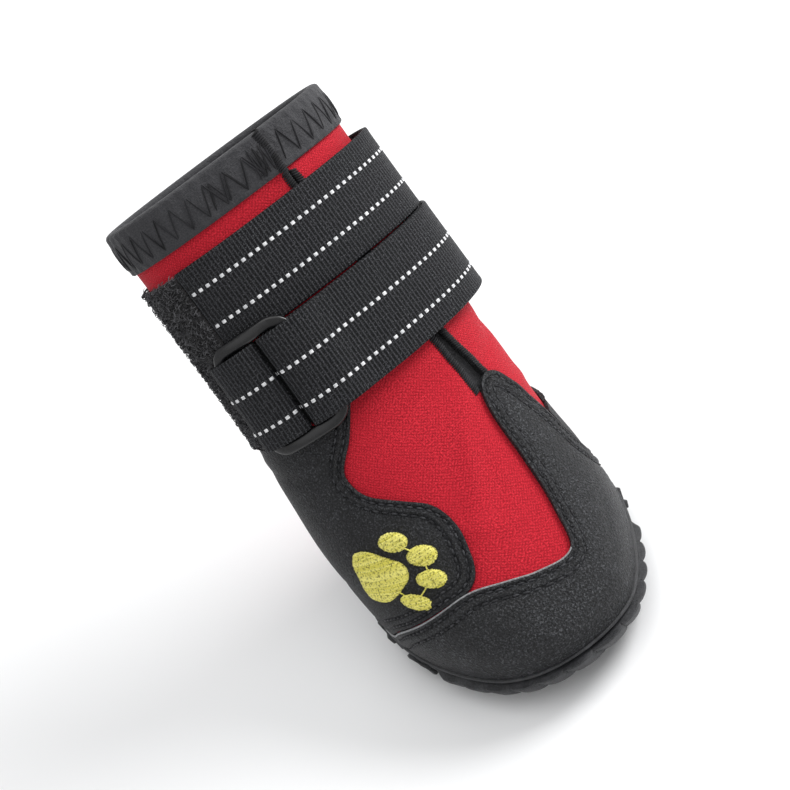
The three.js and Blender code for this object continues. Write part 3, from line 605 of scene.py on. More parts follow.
def threadFinish(name, dark, light, rough=0.55, sheen=0.2, pits=0.0):
    made, tree, shader, spot = newFinish(name, bodyMap)
    tone = put(tree, "ShaderNodeAttribute", attribute_name="tone").outputs["Fac"]
    twist = noise(tree, spot, 5.0, 3)
    share = times(tree, tone, spreadTo(tree, twist, 0.5, 1.2))
    color = blendColor(tree, share, dark, light)
    holes = spreadTo(tree, noise(tree, spot, 1.9, 3, 0.7), pits, 0.0, 0.36, 0.5)
    color = blendColor(tree, holes, color, tuple(0.28 * v for v in dark))
    join(tree, shader, Base_Color=color, Roughness=rough, Sheen_Weight=sheen, Specular_IOR_Level=0.25)
    join(tree, shader, Normal=bumps(tree, twist, 0.12, 0.9))
    return made


def ringFinish():
    made, tree, shader, spot = newFinish("black_plastic", bodyMap)
    scuff = noise(tree, spot, 0.9, 5, 0.7)
    share = spreadTo(tree, scuff, 0, 0.5, 0.5, 0.8)
    color = blendColor(tree, share, (0.006, 0.006, 0.007), (0.03, 0.03, 0.032))
    join(tree, shader, Base_Color=color, Roughness=spreadTo(tree, scuff, 0.18, 0.4), Specular_IOR_Level=0.5)
    join(tree, shader, Normal=bumps(tree, scuff, 0.03, 0.4))
    return made


def feltFinish(name, dark, light, pitch=0.5):
    made, tree, shader, spot = newFinish(name, bodyMap)
    fine = noise(tree, spot, 1 / pitch, 6, 0.8)
    color = blendColor(tree, spreadTo(tree, fine, 0, 1, 0.4, 0.65), dark, light)
    join(tree, shader, Base_Color=color, Roughness=0.95, Sheen_Weight=0.3)
    join(tree, shader, Normal=bumps(tree, fine, 0.3, 0.9))
    return made


softshell = softshellFinish()
lining = liningFinish()
capFinish = leatherFinish("black_cap_leather", (0.003, 0.0032, 0.004), (0.028, 0.0295, 0.034), 0.4, 0.8)
panelFinish = leatherFinish("black_panel_leather", (0.0025, 0.0027, 0.0035), (0.02, 0.021, 0.025), 0.44, 0.6)
# Pale grey for the painted highlight along the cap's cut edge
edgeHighlight = feltFinish("painted_edge_highlight", (0.14, 0.143, 0.15), (0.36, 0.365, 0.38))
rubber = rubberFinish()
bindingCloth = bindingFinish()
strapFinish = webbingFinish("black_webbing")
blackThread = threadFinish("black_thread", (0.003, 0.003, 0.004), (0.016, 0.016, 0.019), 0.6, 0.05)
seamThread = threadFinish("seam_thread", (0.008, 0.008, 0.01), (0.055, 0.056, 0.062), 0.45, 0.1)
reflective = threadFinish("white_reflective_thread", (0.6, 0.61, 0.63), (0.9, 0.9, 0.91), 0.35)
yellowThread = threadFinish("yellow_embroidery", (0.7, 0.64, 0.1), (0.94, 0.88, 0.27), 0.6, 0.1, 1.0)
fuzzThread = threadFinish("fuzzy_loop_fibre", (0.003, 0.003, 0.004), (0.14, 0.14, 0.15), 0.8)
loopBase = feltFinish("loop_cloth", (0.004, 0.004, 0.005), (0.03, 0.03, 0.033))
ringPlastic = ringFinish()
feltBed = feltFinish("dark_felt", (0.012, 0.012, 0.014), (0.05, 0.05, 0.054))
knitCloth = feltFinish("gusset_cloth", (0.006, 0.006, 0.008), (0.03, 0.03, 0.034), 0.7)
print("finishes ready")


# Softshell upper
upperPlan = dict(across=260, rows=176)


def upperPattern(s, t):
    level = t * collar
    left = edgeAt(splitEdges, "left", level)
    right = edgeAt(splitEdges, "right", level)
    opened = smooth((level - 68.5) / 3)
    middle = (splitEdges["left"][0] + splitEdges["right"][0]) / 2
    start = middle * (1 - opened) + right * opened
    end = middle * (1 - opened) + left * opened + 360
    return (start + (end - start) * s) * perDegree, level


upper = cutCloth("upper_softshell", upperPlan["across"], upperPlan["rows"], upperPattern, 0, 0)
layOn(upper, 0)
tidyNormals(upper)
upper.data.materials.append(softshell)
upper.data.materials.append(lining)
applied(upper, "SOLIDIFY", thickness=wall * mm, offset=-1, material_offset=1, material_offset_rim=1)
shaded(upper)
keep(upper, "softshell", "upper")
print("upper", len(upper.data.polygons))


# Toe cap with its strip
capTop = dict(
    angle=[-95, -86, -77, -62, -39, -24, -9, 2, 13, 18.5, 23, 26.6, 28.4, 29.6, 32.5, 39.5, 47, 53, 59, 65,
           70, 77, 86, 95, 103],
    level=[6.8, 12, 18.2, 24.4, 31.4, 34, 32.2, 29.6, 27.8, 29.4, 36.5, 44, 53, 65, 71.6, 74.2, 72, 66, 58,
           48.5, 38, 29, 20.5, 13, 7],
)


capRows = (1.5, 4.0)  # stitches, in from the edge


# Places along the cap's top edge, even along its length
def capEdge(count):
    angle = np.linspace(-95, 103, 2000)
    line = np.stack([angle * perDegree, curveThrough(capTop["angle"], capTop["level"], angle)], -1)
    return evenly(line, np.linalg.norm(np.diff(line, axis=0), axis=1).sum() / count)


capLine = capEdge(360)
capCount = len(capLine) - 1


def capPattern(s, t):
    k = s * capCount
    x = np.interp(k, np.arange(capCount + 1), capLine[:, 0])
    top = np.interp(k, np.arange(capCount + 1), capLine[:, 1])
    return x, soleTop + (top - soleTop) * (1 - (1 - t) ** 1.25)


def seamRelief(line, rows, depth=0.42, puff=0.3):
    def relief(flat):
        near = nearLine(line, flat)
        height = np.zeros(len(flat))
        for row in rows:
            height -= depth * np.exp(-((near - row) / 0.42) ** 2)
        between = sum(rows) / len(rows)
        border = 0.2 * np.exp(-((near - 0.6) / 0.5) ** 2)
        return height + border + puff * np.exp(-((near - between) / 0.9) ** 2)
    return relief


toeCap = cutCloth("toe_cap_leather", 360, 60, capPattern, capLeather, 0.3)
layOn(toeCap, seat, seamRelief(capLine, capRows), capLeather)
shaded(toeCap)
dress(toeCap, capFinish, "leather_cap", "toe_cap")
rimLine = np.stack([np.linspace(-92, 100, 300) * perDegree, np.full(300, soleTop + 3.4)], -1)
capSeams = [beside(capLine, -capRows[0])[8:-8], beside(capLine, -capRows[1])[12:-12], rimLine]
seams("toe_cap_stitches", capSeams, seat + capLeather - 0.2, "leather_cap")

# A pale line along the cap's top edge across the toe, stopping at its corner: a painted highlight where the
# bevel of the cut edge catches the light
highlightLine = capLine[capLine[:, 0] < 17 * perDegree]
highlightLine = evenly(beside(highlightLine, -0.12), 0.5)
rimPath, rimUps = onLast(highlightLine[:, 0] / perDegree, highlightLine[:, 1], seat + capLeather - 0.1)
dress(threads("toe_cap_edge_highlight", rimPath[None], rimUps[None], 0.29 * mm, sides=8), edgeHighlight, "leather_cap")
print("toe cap")


# Side panels
outerEdges = dict(
    level=[5.9, 9.2, 12.6, 15.7, 18.8, 22, 25.2, 28.7, 32.2, 34.4, 37.8, 44, 51.2, 58.4, 63.2, 68,
           72.8, 76.8, 83.2, 90.7],
    left=[-158, -156.8, -155.5, -154, -152.5, -150.8, -149, -147, -145, -143.5, -141.5, -138, -135,
          -132, -130, -128, -127, -126, -126, -126],
    right=[-97.4, -91.7, -85.9, -81.7, -76.8, -69.7, -61, -50.2, -37.4, -25, -17.5, -13, -11, -14.5,
           -24, -35, -39, -38, -27, -17],
)
innerEdges = dict(
    level=[5.9, 13, 20.5, 29, 38, 44.5, 48.5],
    left=[106, 97.5, 88.5, 79.5, 72.5, 69.5, 68],
    right=[158, 154, 150, 143, 131, 113, 88],
)


def panelPattern(edges):
    def pattern(s, t):
        low, high = edges["level"][0], edges["level"][-1]
        level = low + (high - low) * t
        left = edgeAt(edges, "left", level)
        right = edgeAt(edges, "right", level)
        return (left + (right - left) * s) * perDegree, level
    return pattern


def edgeLine(edges, side, count=400):
    level = np.linspace(edges["level"][0], edges["level"][-1], count)
    return np.stack([edgeAt(edges, side, level) * perDegree, level], -1)


panelRows = (1.4, 3.6)  # stitches, in from the edge


# Lays a panel on the last and sews two rows beside its free edges
def sewPanel(name, across, up, edges, sewn):
    panel = cutCloth(name + "_leather", across, up, panelPattern(edges), leather, 0.25)
    lines = [edgeLine(edges, side) for side, _, _ in sewn]
    layOn(panel, seat, seamRelief(np.concatenate(lines), panelRows), leather)
    shaded(panel)
    dress(panel, panelFinish, "leather_panel", name)
    rows = [beside(line, row if side == "right" else -row)[start:stop]
            for line, (side, start, stop) in zip(lines, sewn) for row in panelRows]
    seams(name + "_stitches", rows, seat + leather - 0.16, "leather_panel")


sewPanel("outer_panel", 150, 150, outerEdges, [("right", 60, None), ("left", 6, None)])
sewPanel("inner_panel", 110, 90, innerEdges, [("right", 6, -6)])
print("side panels")


# Collar binding, folded over the edge
binding = dict(start=19.2, end=376.4, columns=330, outside=0.7, inside=0.6, puff=0.3)


def bindingProfile():
    outer = seat + binding["outside"]
    inner = -wall - seat - binding["inside"]
    top = collar + seat + binding["outside"]
    outline = [(bindingLow, seat), (bindingLow, outer - 0.25), (bindingLow + 0.3, outer)]
    for share in np.linspace(0, 1, 9):
        level = bindingLow + 1.2 + share * (top - bindingLow - 2.8)
        outline.append((level, outer + binding["puff"] * math.sin(share * math.pi)))
    middle, half = (outer + inner) / 2, (outer - inner) / 2
    for turn in np.linspace(0, math.pi, 9):
        outline.append((top - 1.2 + 1.2 * math.sin(turn), middle + half * math.cos(turn)))
    outline += [(level, inner) for level in np.linspace(top - 1.6, bindingLow + 3.4, 6)]
    outline += [(bindingLow + 3, inner + 0.25), (bindingLow + 3, -wall - seat)]
    outline += [(collar + seat, -wall - seat), (collar + seat, seat)]
    return np.array(outline)


def sweptPiece(name, rings, closed, patternX, patternY):
    count, sides, _ = rings.shape
    points = rings.reshape(-1, 3)
    faces = ringFaces(count, sides, closed)
    if not closed:
        faces.append(list(range(sides)))
        faces.append(list(range(len(points) - 1, len(points) - sides - 1, -1)))
    piece = meshFrom(name, points, faces)
    flat = np.stack([np.repeat(patternX, sides), np.tile(patternY, count)], -1)
    writeMap(piece, flat)
    tidyNormals(piece, merge=False)
    return piece


profile = bindingProfile()
turns = np.linspace(binding["start"], binding["end"], binding["columns"])
swell = 0.1 * np.sin(turns * 0.9) + 0.08 * np.sin(turns * 0.37 + 1)
levelsOf = np.broadcast_to(profile[:, 0], (len(turns), len(profile)))
outsOf = profile[:, 1][None] + np.where(profile[:, 1] > 0.4, swell[:, None] * 0.8, 0)
rings = wrap(turns[:, None], levelsOf, outsOf)
around = np.concatenate([[0], np.cumsum(np.linalg.norm(np.diff(profile, axis=0), axis=1))])
collarBinding = sweptPiece("collar_binding_tape", rings, False, turns * perDegree, around)
shaded(collarBinding)
dress(collarBinding, bindingCloth, "binding", "collar_binding")


def zigzag(start, end, pitch, low, high):
    count = int((end - start) / pitch)
    corner = start + np.arange(count + 1) * pitch
    level = np.where(np.arange(count + 1) % 2 == 0, low, high)
    line = np.stack([corner * perDegree, level], -1)
    a, b = line[:-1, None], line[1:, None]
    share = np.linspace(0.0, 1.0, 9)[None, :, None]
    spots = a * (1 - share) + b * share
    angle, height = spots[..., 0] / perDegree, spots[..., 1]
    bow = np.array([-0.1, 0.15, 0.28, 0.34, 0.36, 0.34, 0.28, 0.15, -0.1])[None]
    rise = seat + binding["outside"] + bow
    return onLast(angle, height, rise)


# One row all round, and two short ones over its left end; low and high are the distances from the edges
zigRows = dict(start=[22, 345, 367], end=[376, 375, 375.6], pitch=[4.7, 3.9, 1.2],
               low=[1.3, 1.6, 1.2], high=[1.6, 2.2, 1.4])
zigs = [zigzag(start, end, pitch, bindingLow + low, collar - high)
        for start, end, pitch, low, high in zip(*zigRows.values())]
dress(threads("binding_zigzag", *joined(zigs), 0.24 * mm), blackThread, "binding")
print("binding")


# Gusset behind the split
gussetPlan = dict(low=69, high=143.5, margin=5)


def gussetPattern(s, t):
    level = gussetPlan["low"] + (gussetPlan["high"] - gussetPlan["low"]) * t
    left = edgeAt(splitEdges, "left", level) - gussetPlan["margin"]
    right = edgeAt(splitEdges, "right", level) + gussetPlan["margin"]
    return (left + (right - left) * s) * perDegree, level


gusset = cutCloth("gusset_cloth", 24, 110, gussetPattern, leather, 0.2)
layOn(gusset, -wall - seat - leather)
shaded(gusset)
dress(gusset, knitCloth, "gusset_cloth", "gusset")


# Overlock threads round both edges of the split, over the binding too
lock = dict(
    pitch=0.62,
    radius=0.3,
    across=[-1.9, -1.2, -0.5, 0.05, 0.2, 0.1, -0.8],
    rise=[0.02, 0.3, 0.36, 0.25, -0.5, -1.2, -1.75],
)


def overlock(edge, side, low, high):
    level = np.arange(low, high, lock["pitch"])[:, None]
    start = edgeAt(splitEdges, edge, level)
    across = np.array(lock["across"])[None] * side
    over = np.where(level > bindingLow - 0.5, seat + binding["outside"], 0)
    rise = np.array(lock["rise"])[None] + over * (across * side < 0.3)
    return onLast(start + across / perDegree, level + np.linspace(-0.5, 0.5, 7)[None], rise)


locks = [overlock("left", 1, 72.5, 157), overlock("right", -1, 74, 144.5)]
dress(threads("split_overlock", *joined(locks), lock["radius"] * mm), blackThread, "gusset_cloth")


# Fuzzy loop field
loopPlan = dict(low=92, high=140, step=117.6, left=118, lowerRight=288, upperRight=307)


def loopRight(level):
    return np.where(level < loopPlan["step"], loopPlan["lowerRight"], loopPlan["upperRight"])


def loopPattern(s, t):
    level = loopPlan["low"] + (loopPlan["high"] - loopPlan["low"]) * t
    return (loopPlan["left"] + (loopRight(level) - loopPlan["left"]) * s) * perDegree, level


loopPatch = cutCloth("loop_patch_cloth", 160, 74, loopPattern, loopCloth - 0.35, 0.2)
layOn(loopPatch, seat)
shaded(loopPatch)
dress(loopPatch, loopBase, "loop_cloth", "loop_patch")

fuzz = dict(count=5600, height=1.5, width=0.75, thread=0.1)
fuzzLevel = loopPlan["low"] - 0.2 + (loopPlan["high"] - loopPlan["low"] + 0.4) * random.random(fuzz["count"])
fuzzRight = loopRight(fuzzLevel)
fuzzLeft = loopPlan["left"] + 0.5
fuzzAngle = fuzzLeft + (fuzzRight - fuzzLeft) * random.random(fuzz["count"]) ** 0.6
fuzzTurn = random.random(fuzz["count"]) * 2 * math.pi
arc = np.linspace(0, math.pi, 6)
reach = fuzz["width"] * (0.5 + random.random(fuzz["count"]))
tall = fuzz["height"] * (0.55 + 0.6 * random.random(fuzz["count"]))
slide = np.cos(arc)[None] * reach[:, None]
angle = fuzzAngle[:, None] + slide * np.cos(fuzzTurn)[:, None] / perDegree
level = fuzzLevel[:, None] + slide * np.sin(fuzzTurn)[:, None]
rise = seat + loopCloth - 0.5 + np.sin(arc)[None] * tall[:, None]
fuzzPaths = wrap(angle, level, rise)
side = np.stack([-np.sin(fuzzTurn), np.cos(fuzzTurn), np.zeros(fuzz["count"])], -1)
fuzzUps = np.broadcast_to(side[:, None], fuzzPaths.shape)
loopFuzz = threads("loop_patch_fuzz", fuzzPaths, fuzzUps, fuzz["thread"] * mm, sides=3, taper=0.9)
dress(loopFuzz, fuzzThread, "loop_cloth")
print("loop field")


# Straps and ring tab
upperPath = dict(
    angle=[-52, -30, 0, 30, 55, 75, 90, 105, 125, 145, 165],
    out=[0.95, 0.95, 0.95, 1.1, 1.9, 3.5, 4.6, 4.2, 2.9, 2.4, 2.35],
)
lowerPath = dict(
    angle=[108, 98, 88, 75, 58, 35, 15, -2, -12, -20, -28, -33, -35, -33, -28, -12, 15, 35, 58, 75, 90,
           105, 125, 145, 165],
    out=[6.6, 6.3, 5.7, 4.9, 3.7, 2.6, 2.6, 3.2, 4.8, 5.1, 4.9, 4.1, 2.9, 1.6, 0.95, 0.9, 0.9, 0.95, 1.7,
         2.9, 3.9, 3.8, 2.7, 2.35, 2.3],
)
tabPath = dict(
    angle=[-71, -68, -64.5, -60, -52, -44, -40, -38.2, -40, -44, -54, -70],
    out=[2.05, 3.2, 4.7, 5.1, 5.1, 4.6, 3.8, 2.8, 1.7, 1, 0.9, 0.9],
)


class Strap:
    def __init__(self, path):
        rough = splinePoints(np.stack([np.array(path["angle"]) * strapDegree, path["out"]], -1), False, 40)
        self.line = evenly(rough, 0.05)
        where = wrap(self.line[:, 0] / strapDegree, strapLevel, self.line[:, 1])
        steps = np.linalg.norm(np.diff(where, axis=0), axis=1)
        self.along = np.concatenate([[0], np.cumsum(steps)]) / mm
        self.length = self.along[-1]

    def middle(self, along, level):
        angle = np.interp(along, self.along, self.line[:, 0]) / strapDegree
        return wrap(angle, level, np.interp(along, self.along, self.line[:, 1]))

    def point(self, along, level, raised=0.0):
        along, level, raised = np.broadcast_arrays(*(np.asarray(v, float) for v in (along, level, raised)))
        here = self.middle(along, level)
        way = self.middle(along + 0.3, level) - self.middle(along - 0.3, level)
        face = unit(np.cross(way, self.middle(along, level + 0.5) - here))
        return here + face * (raised[..., None] * mm), face


def makeStrap(node, path, low, high, thick):
    strap = Strap(path)

    def pattern(s, t):
        return s * strap.length, low + t * (high - low)

    piece = cutCloth(node + "_webbing", int(strap.length / 0.45), 34, pattern, thick, 0.28, offset=0)
    flat = pointsOf(piece)
    writeMap(piece, flat)
    selvedge = np.minimum(flat[:, 1] - low, high - flat[:, 1])
    rolled = 1 + 0.12 * np.exp(-((selvedge - 0.9) / 0.5) ** 2)
    placed, _ = strap.point(flat[:, 0], flat[:, 1], flat[:, 2] * rolled)
    setPoints(piece, placed)
    shaded(piece)
    dress(piece, strapFinish, "webbing", node)
    return strap


# Short raised dashes of reflective thread along one line of a strap: three threads side by side
def dashRow(strap, level, side, thick, pitch=2.1, length=0.95):
    middle = np.arange(1.5, strap.length - 2, pitch)
    share = np.linspace(-0.5, 0.5, 5)[None]
    along = np.tile(middle[:, None] + share * length, (3, 1))
    across = level + np.repeat([-0.27, 0.0, 0.27], len(middle))[:, None]
    drop = side * (thick / 2 + np.array([-0.02, 0.08, 0.1, 0.08, -0.02]))[None]
    return strap.point(along, across, drop)


# Thin black cloth behind the ring, from the loop field to under the fold of the strap: a dark sheet put in as
# painted shade, so the gap between the folds of the tab and the strap reads black
gapShadePlan = dict(left=-71.8, width=46.8, low=91.8, height=24.4, thick=0.25, out=0.05)


def gapShadePattern(s, t):
    angle = gapShadePlan["left"] + gapShadePlan["width"] * s
    return angle * perDegree, gapShadePlan["low"] + gapShadePlan["height"] * t


gapShadeCloth = cutCloth("ring_gap_shade_cloth", 58, 30, gapShadePattern, gapShadePlan["thick"], 0.08)
layOn(gapShadeCloth, gapShadePlan["out"])
shaded(gapShadeCloth)
dress(gapShadeCloth, loopBase, "webbing")

upperStrap = makeStrap("upper_strap", upperPath, upperStrapLow, upperStrapHigh, webbing)
lowerStrap = makeStrap("lower_strap", lowerPath, lowerStrapLow, lowerStrapHigh, webbing)
ringTab = makeStrap("ring_tab", tabPath, lowerStrapLow, lowerStrapHigh, tabThick)

upperRows, lowerRows = (124.6, 134.0), (97.0, 107.0)
dashes = [dashRow(upperStrap, level, 1, webbing) for level in upperRows]
dashes += [dashRow(lowerStrap, level, -1, webbing) for level in lowerRows]
dashes += [dashRow(ringTab, level, 1, tabThick) for level in lowerRows]
dress(threads("strap_reflective_dashes", *joined(dashes), 0.17 * mm, taper=0.8), reflective, "webbing")
print("straps", round(upperStrap.length), round(lowerStrap.length), round(ringTab.length))


# Plastic ring
ringPlan = dict(left=-61, right=-20, low=89.2, high=118.6, corner=4, bar=3, thick=2, out=2.95)


def ringPath():
    corner = ringPlan["corner"]
    wide = corner / strapDegree
    spots = []
    for side, up, start in ((1, 1, 0), (-1, 1, 90), (-1, -1, 180), (1, -1, 270)):
        middleAngle = ringPlan["right"] - wide if side > 0 else ringPlan["left"] + wide
        middleLevel = ringPlan["high"] - corner if up > 0 else ringPlan["low"] + corner
        for turn in np.radians(start + np.linspace(0, 90, 12)):
            spots.append((middleAngle + wide * math.cos(turn), middleLevel + corner * math.sin(turn)))
    spots.append(spots[0])
    return evenly(np.array(spots) * [strapDegree, 1], 0.9)[:-1] / [strapDegree, 1]


spots = ringPath()
centre = wrap(spots[:, 0], spots[:, 1], ringPlan["out"])
way = unit(np.roll(centre, -1, 0) - np.roll(centre, 1, 0))
face = lastNormal(spots[:, 0], spots[:, 1])
aside = unit(np.cross(way, face))
turn = np.arange(20) / 20 * 2 * math.pi
barX = np.sign(np.cos(turn)) * np.abs(np.cos(turn)) ** 0.55 * ringPlan["bar"] / 2
barZ = np.sign(np.sin(turn)) * np.abs(np.sin(turn)) ** 0.55 * ringPlan["thick"] / 2
rings = centre[:, None] + (aside[:, None] * barX[None, :, None] + face[:, None] * barZ[None, :, None]) * mm
ring = sweptPiece("plastic_ring", rings, True, np.arange(len(spots)), np.arange(20))
shaded(ring, 60)
dress(ring, ringPlastic, "ring_plastic", "ring")
print("ring")


# Paw embroidery
padOutline = dict(
    across=[8.9, 6.2, 2, -1.6, -4.8, -6.6, -8, -7.4, -3.1, 0.6, 4.3, 8],
    along=[2.9, 6, 9.2, 9.1, 5.3, -1.1, -6.6, -9.7, -9.5, -7.2, -4.2, -0.6],
)
pawSpots = dict(angle=[-57.5, -38.4, -30.8, -34, -48.6], level=[44.3, 54.2, 48, 41.2, 34.9])
toeSizes = dict(across=[3.6, 3.7, 3.7, 4.0], along=[2.9, 2.9, 2.8, 2.9])
satinPlan = dict(spacing=0.35, lean=0.16, radius=0.22, dome=0.6)


def toeShape(k):
    turn = np.linspace(0, 2 * math.pi, 60, endpoint=False)
    return np.stack([toeSizes["across"][k] * np.cos(turn), toeSizes["along"][k] * np.sin(turn)], -1)


# Where a line of thread enters and leaves the outline
def threadEnds(outline, v, lean):
    a, b = outline, np.roll(outline, -1, 0)
    ya, yb = a[:, 1] - lean * a[:, 0] - v, b[:, 1] - lean * b[:, 0] - v
    cut = ya * yb < 0
    share = ya[cut] / (ya[cut] - yb[cut])
    x = a[cut, 0] + share * (b[cut, 0] - a[cut, 0])
    return x.min(), x.max()


# Satin threads side by side across one shape, over a low dome
def satin(k):
    lean = satinPlan["lean"]
    outline = splinePoints(np.stack(list(padOutline.values()), -1), True, 12) if k == 0 else toeShape(k - 1)
    middleAngle, middleLevel = pawSpots["angle"][k], pawSpots["level"][k]
    beforeIt, afterIt = (lastPoint(middleAngle + turn, middleLevel) for turn in (-1, 1))
    perTurn = np.linalg.norm(afterIt - beforeIt) / 2
    offset = outline[:, 1] - lean * outline[:, 0]
    rows = np.arange(offset.min() + 0.12, offset.max() - 0.1, satinPlan["spacing"])
    ends = np.array([threadEnds(outline, v, lean) for v in rows])
    ends += 0.16 * (random.random(ends.shape) - 0.5)
    t = np.linspace(0, 1, 13)[None]
    u = ends[:, :1] + (ends[:, 1:] - ends[:, :1]) * t
    v = rows[:, None] + lean * u
    near = nearLine(outline, np.stack([u.ravel(), v.ravel()], -1)).reshape(u.shape)
    dome = satinPlan["dome"] * smooth(near / 1.3) ** 0.7
    rise = seat + leather - 0.1 + dome + 0.14 * random.random(len(rows))[:, None]
    return onLast(middleAngle + u / perTurn, middleLevel + v, rise)


paw = threads("paw_embroidery", *joined([satin(k) for k in range(5)]), satinPlan["radius"] * mm)
dress(paw, yellowThread, "paw_thread", "paw_print")

links = []
for a, b in ((0, 4), (4, 3), (3, 2), (2, 1)):
    line = np.array([[pawSpots["angle"][k] * perDegree, pawSpots["level"][k]] for k in (a, b)])
    share = np.linspace(0.0, 1.0, 12)[:, None]
    spots = line[0] * (1 - share) + line[1] * share
    placed, ups = onLast(spots[:, 0] / perDegree, spots[:, 1], seat + leather + 0.12)
    links.append((placed[None], ups[None]))
dress(threads("paw_links", *joined(links), 0.2 * mm), yellowThread, "paw_thread")
print("paw")


# Outsole
cup = dict(
    height=[1.4, 1.45, 1.9, 2.5, 3.2, 4.0, 4.8, 5.6, 6.4, 7.0, 7.4,
            7.7, 7.9, 8.1, 8.3, 8.6, 9.0, 9.4, 9.65, 9.7, 9.7, soleFloor],
    out=[-3, -1.2, -0.5, 0.3, 0.9, 1.25, 1.5, 1.7, 1.9, 2.0, 2.05,
         1.9, 1.5, 1.3, 1.5, 1.9, 2.0, 1.75, 1.3, 0.9, 0.35, 0.35],
    bumper=[0, 0, 0.25, 0.55, 0.8, 0.95, 1, 1, 1, 0.95, 0.8,
            0.45, 0.1, 0, 0, 0, 0, 0, 0, 0, 0, 0],
)
lobes = dict(step=12, end=73, height=2.4, groove=0.5, slant=0.9)
columns = 840
around = np.linspace(-180, 180, columns, endpoint=False)


# Rounded lobes round the toe, with a narrow groove between each two
def bumperHeight(angle):
    fade = smooth((lobes["end"] - np.abs(angle)) / 6) * (0.65 + 0.35 * np.cos(np.radians(angle)))
    wave = np.abs(np.sin(angle / lobes["step"] * math.pi)) ** 0.5
    return fade * (lobes["height"] * (0.45 + 0.55 * wave) - lobes["groove"] * (1 - wave) ** 3)


def shrunk(ring, share, height):
    middle = np.array([0, footMiddle, 0]) - origin
    plan = ring / mm
    moved = middle + (plan - middle) * share
    moved[:, 2] = height + lift(moved[:, 1] + origin[1])
    return moved * mm


def outsoleBody():
    heights, outs = cup["height"], cup["out"]
    rings = [footPoint(around, h, o + k * bumperHeight(around + lobes["slant"] * (h - 5)))
             for h, o, k in zip(heights, outs, cup["bumper"])]
    under = [shrunk(rings[0], share, heights[0]) for share in (0.02, 0.2, 0.4, 0.6, 0.8, 0.92)]
    floor = [shrunk(rings[-1], share, soleFloor) for share in (0.9, 0.7, 0.4, 0.15, 0.02)]
    return bodyThrough("outsole_cup", under + rings + floor)


outsole = outsoleBody()
tidyNormals(outsole)
shaded(outsole, 35)
dress(outsole, rubber, "rubber", "outsole")

# X-shaped lug: one is modelled, the rest are copies of its mesh, joined
lugPlan = dict(arm=4.6, width=2.3, height=1.9, bevel=0.3)
lugRows = dict(y=[-31.5, -21, -10, 1.5, 13], count=[2, 3, 4, 4, 4], pitch=[13, 14.5, 14, 14.6, 13.2])


def modelLug(name, arm, width, height):
    w = width / 2
    outline = [(w, w), (arm, w), (arm, -w), (w, -w), (w, -arm), (-w, -arm), (-w, -w), (-arm, -w),
               (-arm, w), (-w, w), (-w, arm), (w, arm)]
    seed = meshFrom(name, np.array([(x, y, 0.0) for x, y in outline]), [list(range(12))])
    onlySelect(seed)
    bpy.ops.object.mode_set(mode="EDIT")
    bpy.ops.mesh.select_all(action="SELECT")
    bpy.ops.mesh.normals_make_consistent(inside=False)
    bpy.ops.mesh.extrude_region_move(TRANSFORM_OT_translate={"value": (0, 0, height)})
    bpy.ops.mesh.select_all(action="SELECT")
    bpy.ops.mesh.normals_make_consistent(inside=False)
    bpy.ops.object.mode_set(mode="OBJECT")
    applied(seed, "BEVEL", width=lugPlan["bevel"], segments=2, limit_method="ANGLE", angle_limit=0.6)
    return seed


def copiesOf(seed, name, places):
    base = pointsOf(seed)
    faces = [list(p.vertices) for p in seed.data.polygons]
    points, allFaces = [], []
    for place in places:
        start = len(base) * len(points)
        points.append(place(base))
        allFaces += [[start + v for v in face] for face in faces]
    bpy.data.objects.remove(seed)
    piece = meshFrom(name, np.vstack(points), allFaces)
    tidyNormals(piece)
    return piece


def lugPlace(x, y, turn):
    def place(base):
        c, s = math.cos(turn), math.sin(turn)
        px = x + base[:, 0] * c - base[:, 1] * s
        py = y + base[:, 0] * s + base[:, 1] * c
        pz = base[:, 2] + lift(py)
        return (np.stack([px, py, pz], -1) - origin) * mm
    return place


places = []
for y, count, pitch in zip(*(lugRows[key] for key in ("y", "count", "pitch"))):
    for i in range(count):
        places.append(lugPlace((i - (count - 1) / 2) * pitch, y, math.pi / 4))
lugSeed = modelLug("lug_seed", lugPlan["arm"], lugPlan["width"], lugPlan["height"])
lugs = copiesOf(lugSeed, "outsole_lugs", places)
shaded(lugs, 30)
dress(lugs, rubber, "rubber")


# A moulded form under the heel, from a primitive of unit size
def moulded(name, size, place, bevel, degrees):
    piece = bpy.context.object
    piece.name = piece.data.name = name
    setPoints(piece, (pointsOf(piece) * size + place - origin) * mm)
    if bevel:
        applied(piece, "BEVEL", width=bevel * mm, segments=2, limit_method="ANGLE", angle_limit=0.8)
    shaded(piece, degrees)
    dress(piece, rubber, "rubber")


bpy.ops.mesh.primitive_cylinder_add(vertices=48, radius=1, depth=1, location=(0, 0, 0))
moulded("outsole_heel_oval", (5.5, 5, 1.9), (0, 24.5, 0.95), 0.3, 30)
bpy.ops.mesh.primitive_cube_add(size=1, location=(0, 0, 0))
moulded("outsole_heel_bar", (26, 3.2, 1.9), (0, 33.8, 0.95), 0.4, 30)

# Lugs that climb the side of the forefoot
def sidePlace(angle, height, turn):
    def place(base):
        c, s = math.cos(turn), math.sin(turn)
        px = base[:, 0] * c - base[:, 1] * s
        py = base[:, 0] * s + base[:, 1] * c
        return footPoint(angle + px / 0.62, height + py, 1.2 + 0.12 * py + base[:, 2])
    return place


climbing = [sidePlace(side * angle, 5.2, math.pi / 4) for side in (-1, 1) for angle in (82, 97, 112)]
sideLugs = copiesOf(modelLug("side_lug_seed", 3.6, 1.9, 1.5), "outsole_side_lugs", climbing)
shaded(sideLugs, 30)
dress(sideLugs, rubber, "rubber")

# Fine raised lines across the tread, and a ring round the heel oval
fineLines = dict(y=[-26.2, -15.6, -4.2, 7.2, 18.4], half=[17.5, 25.5, 29, 29.5, 26], bow=[3, 3, 2, -2, -4])


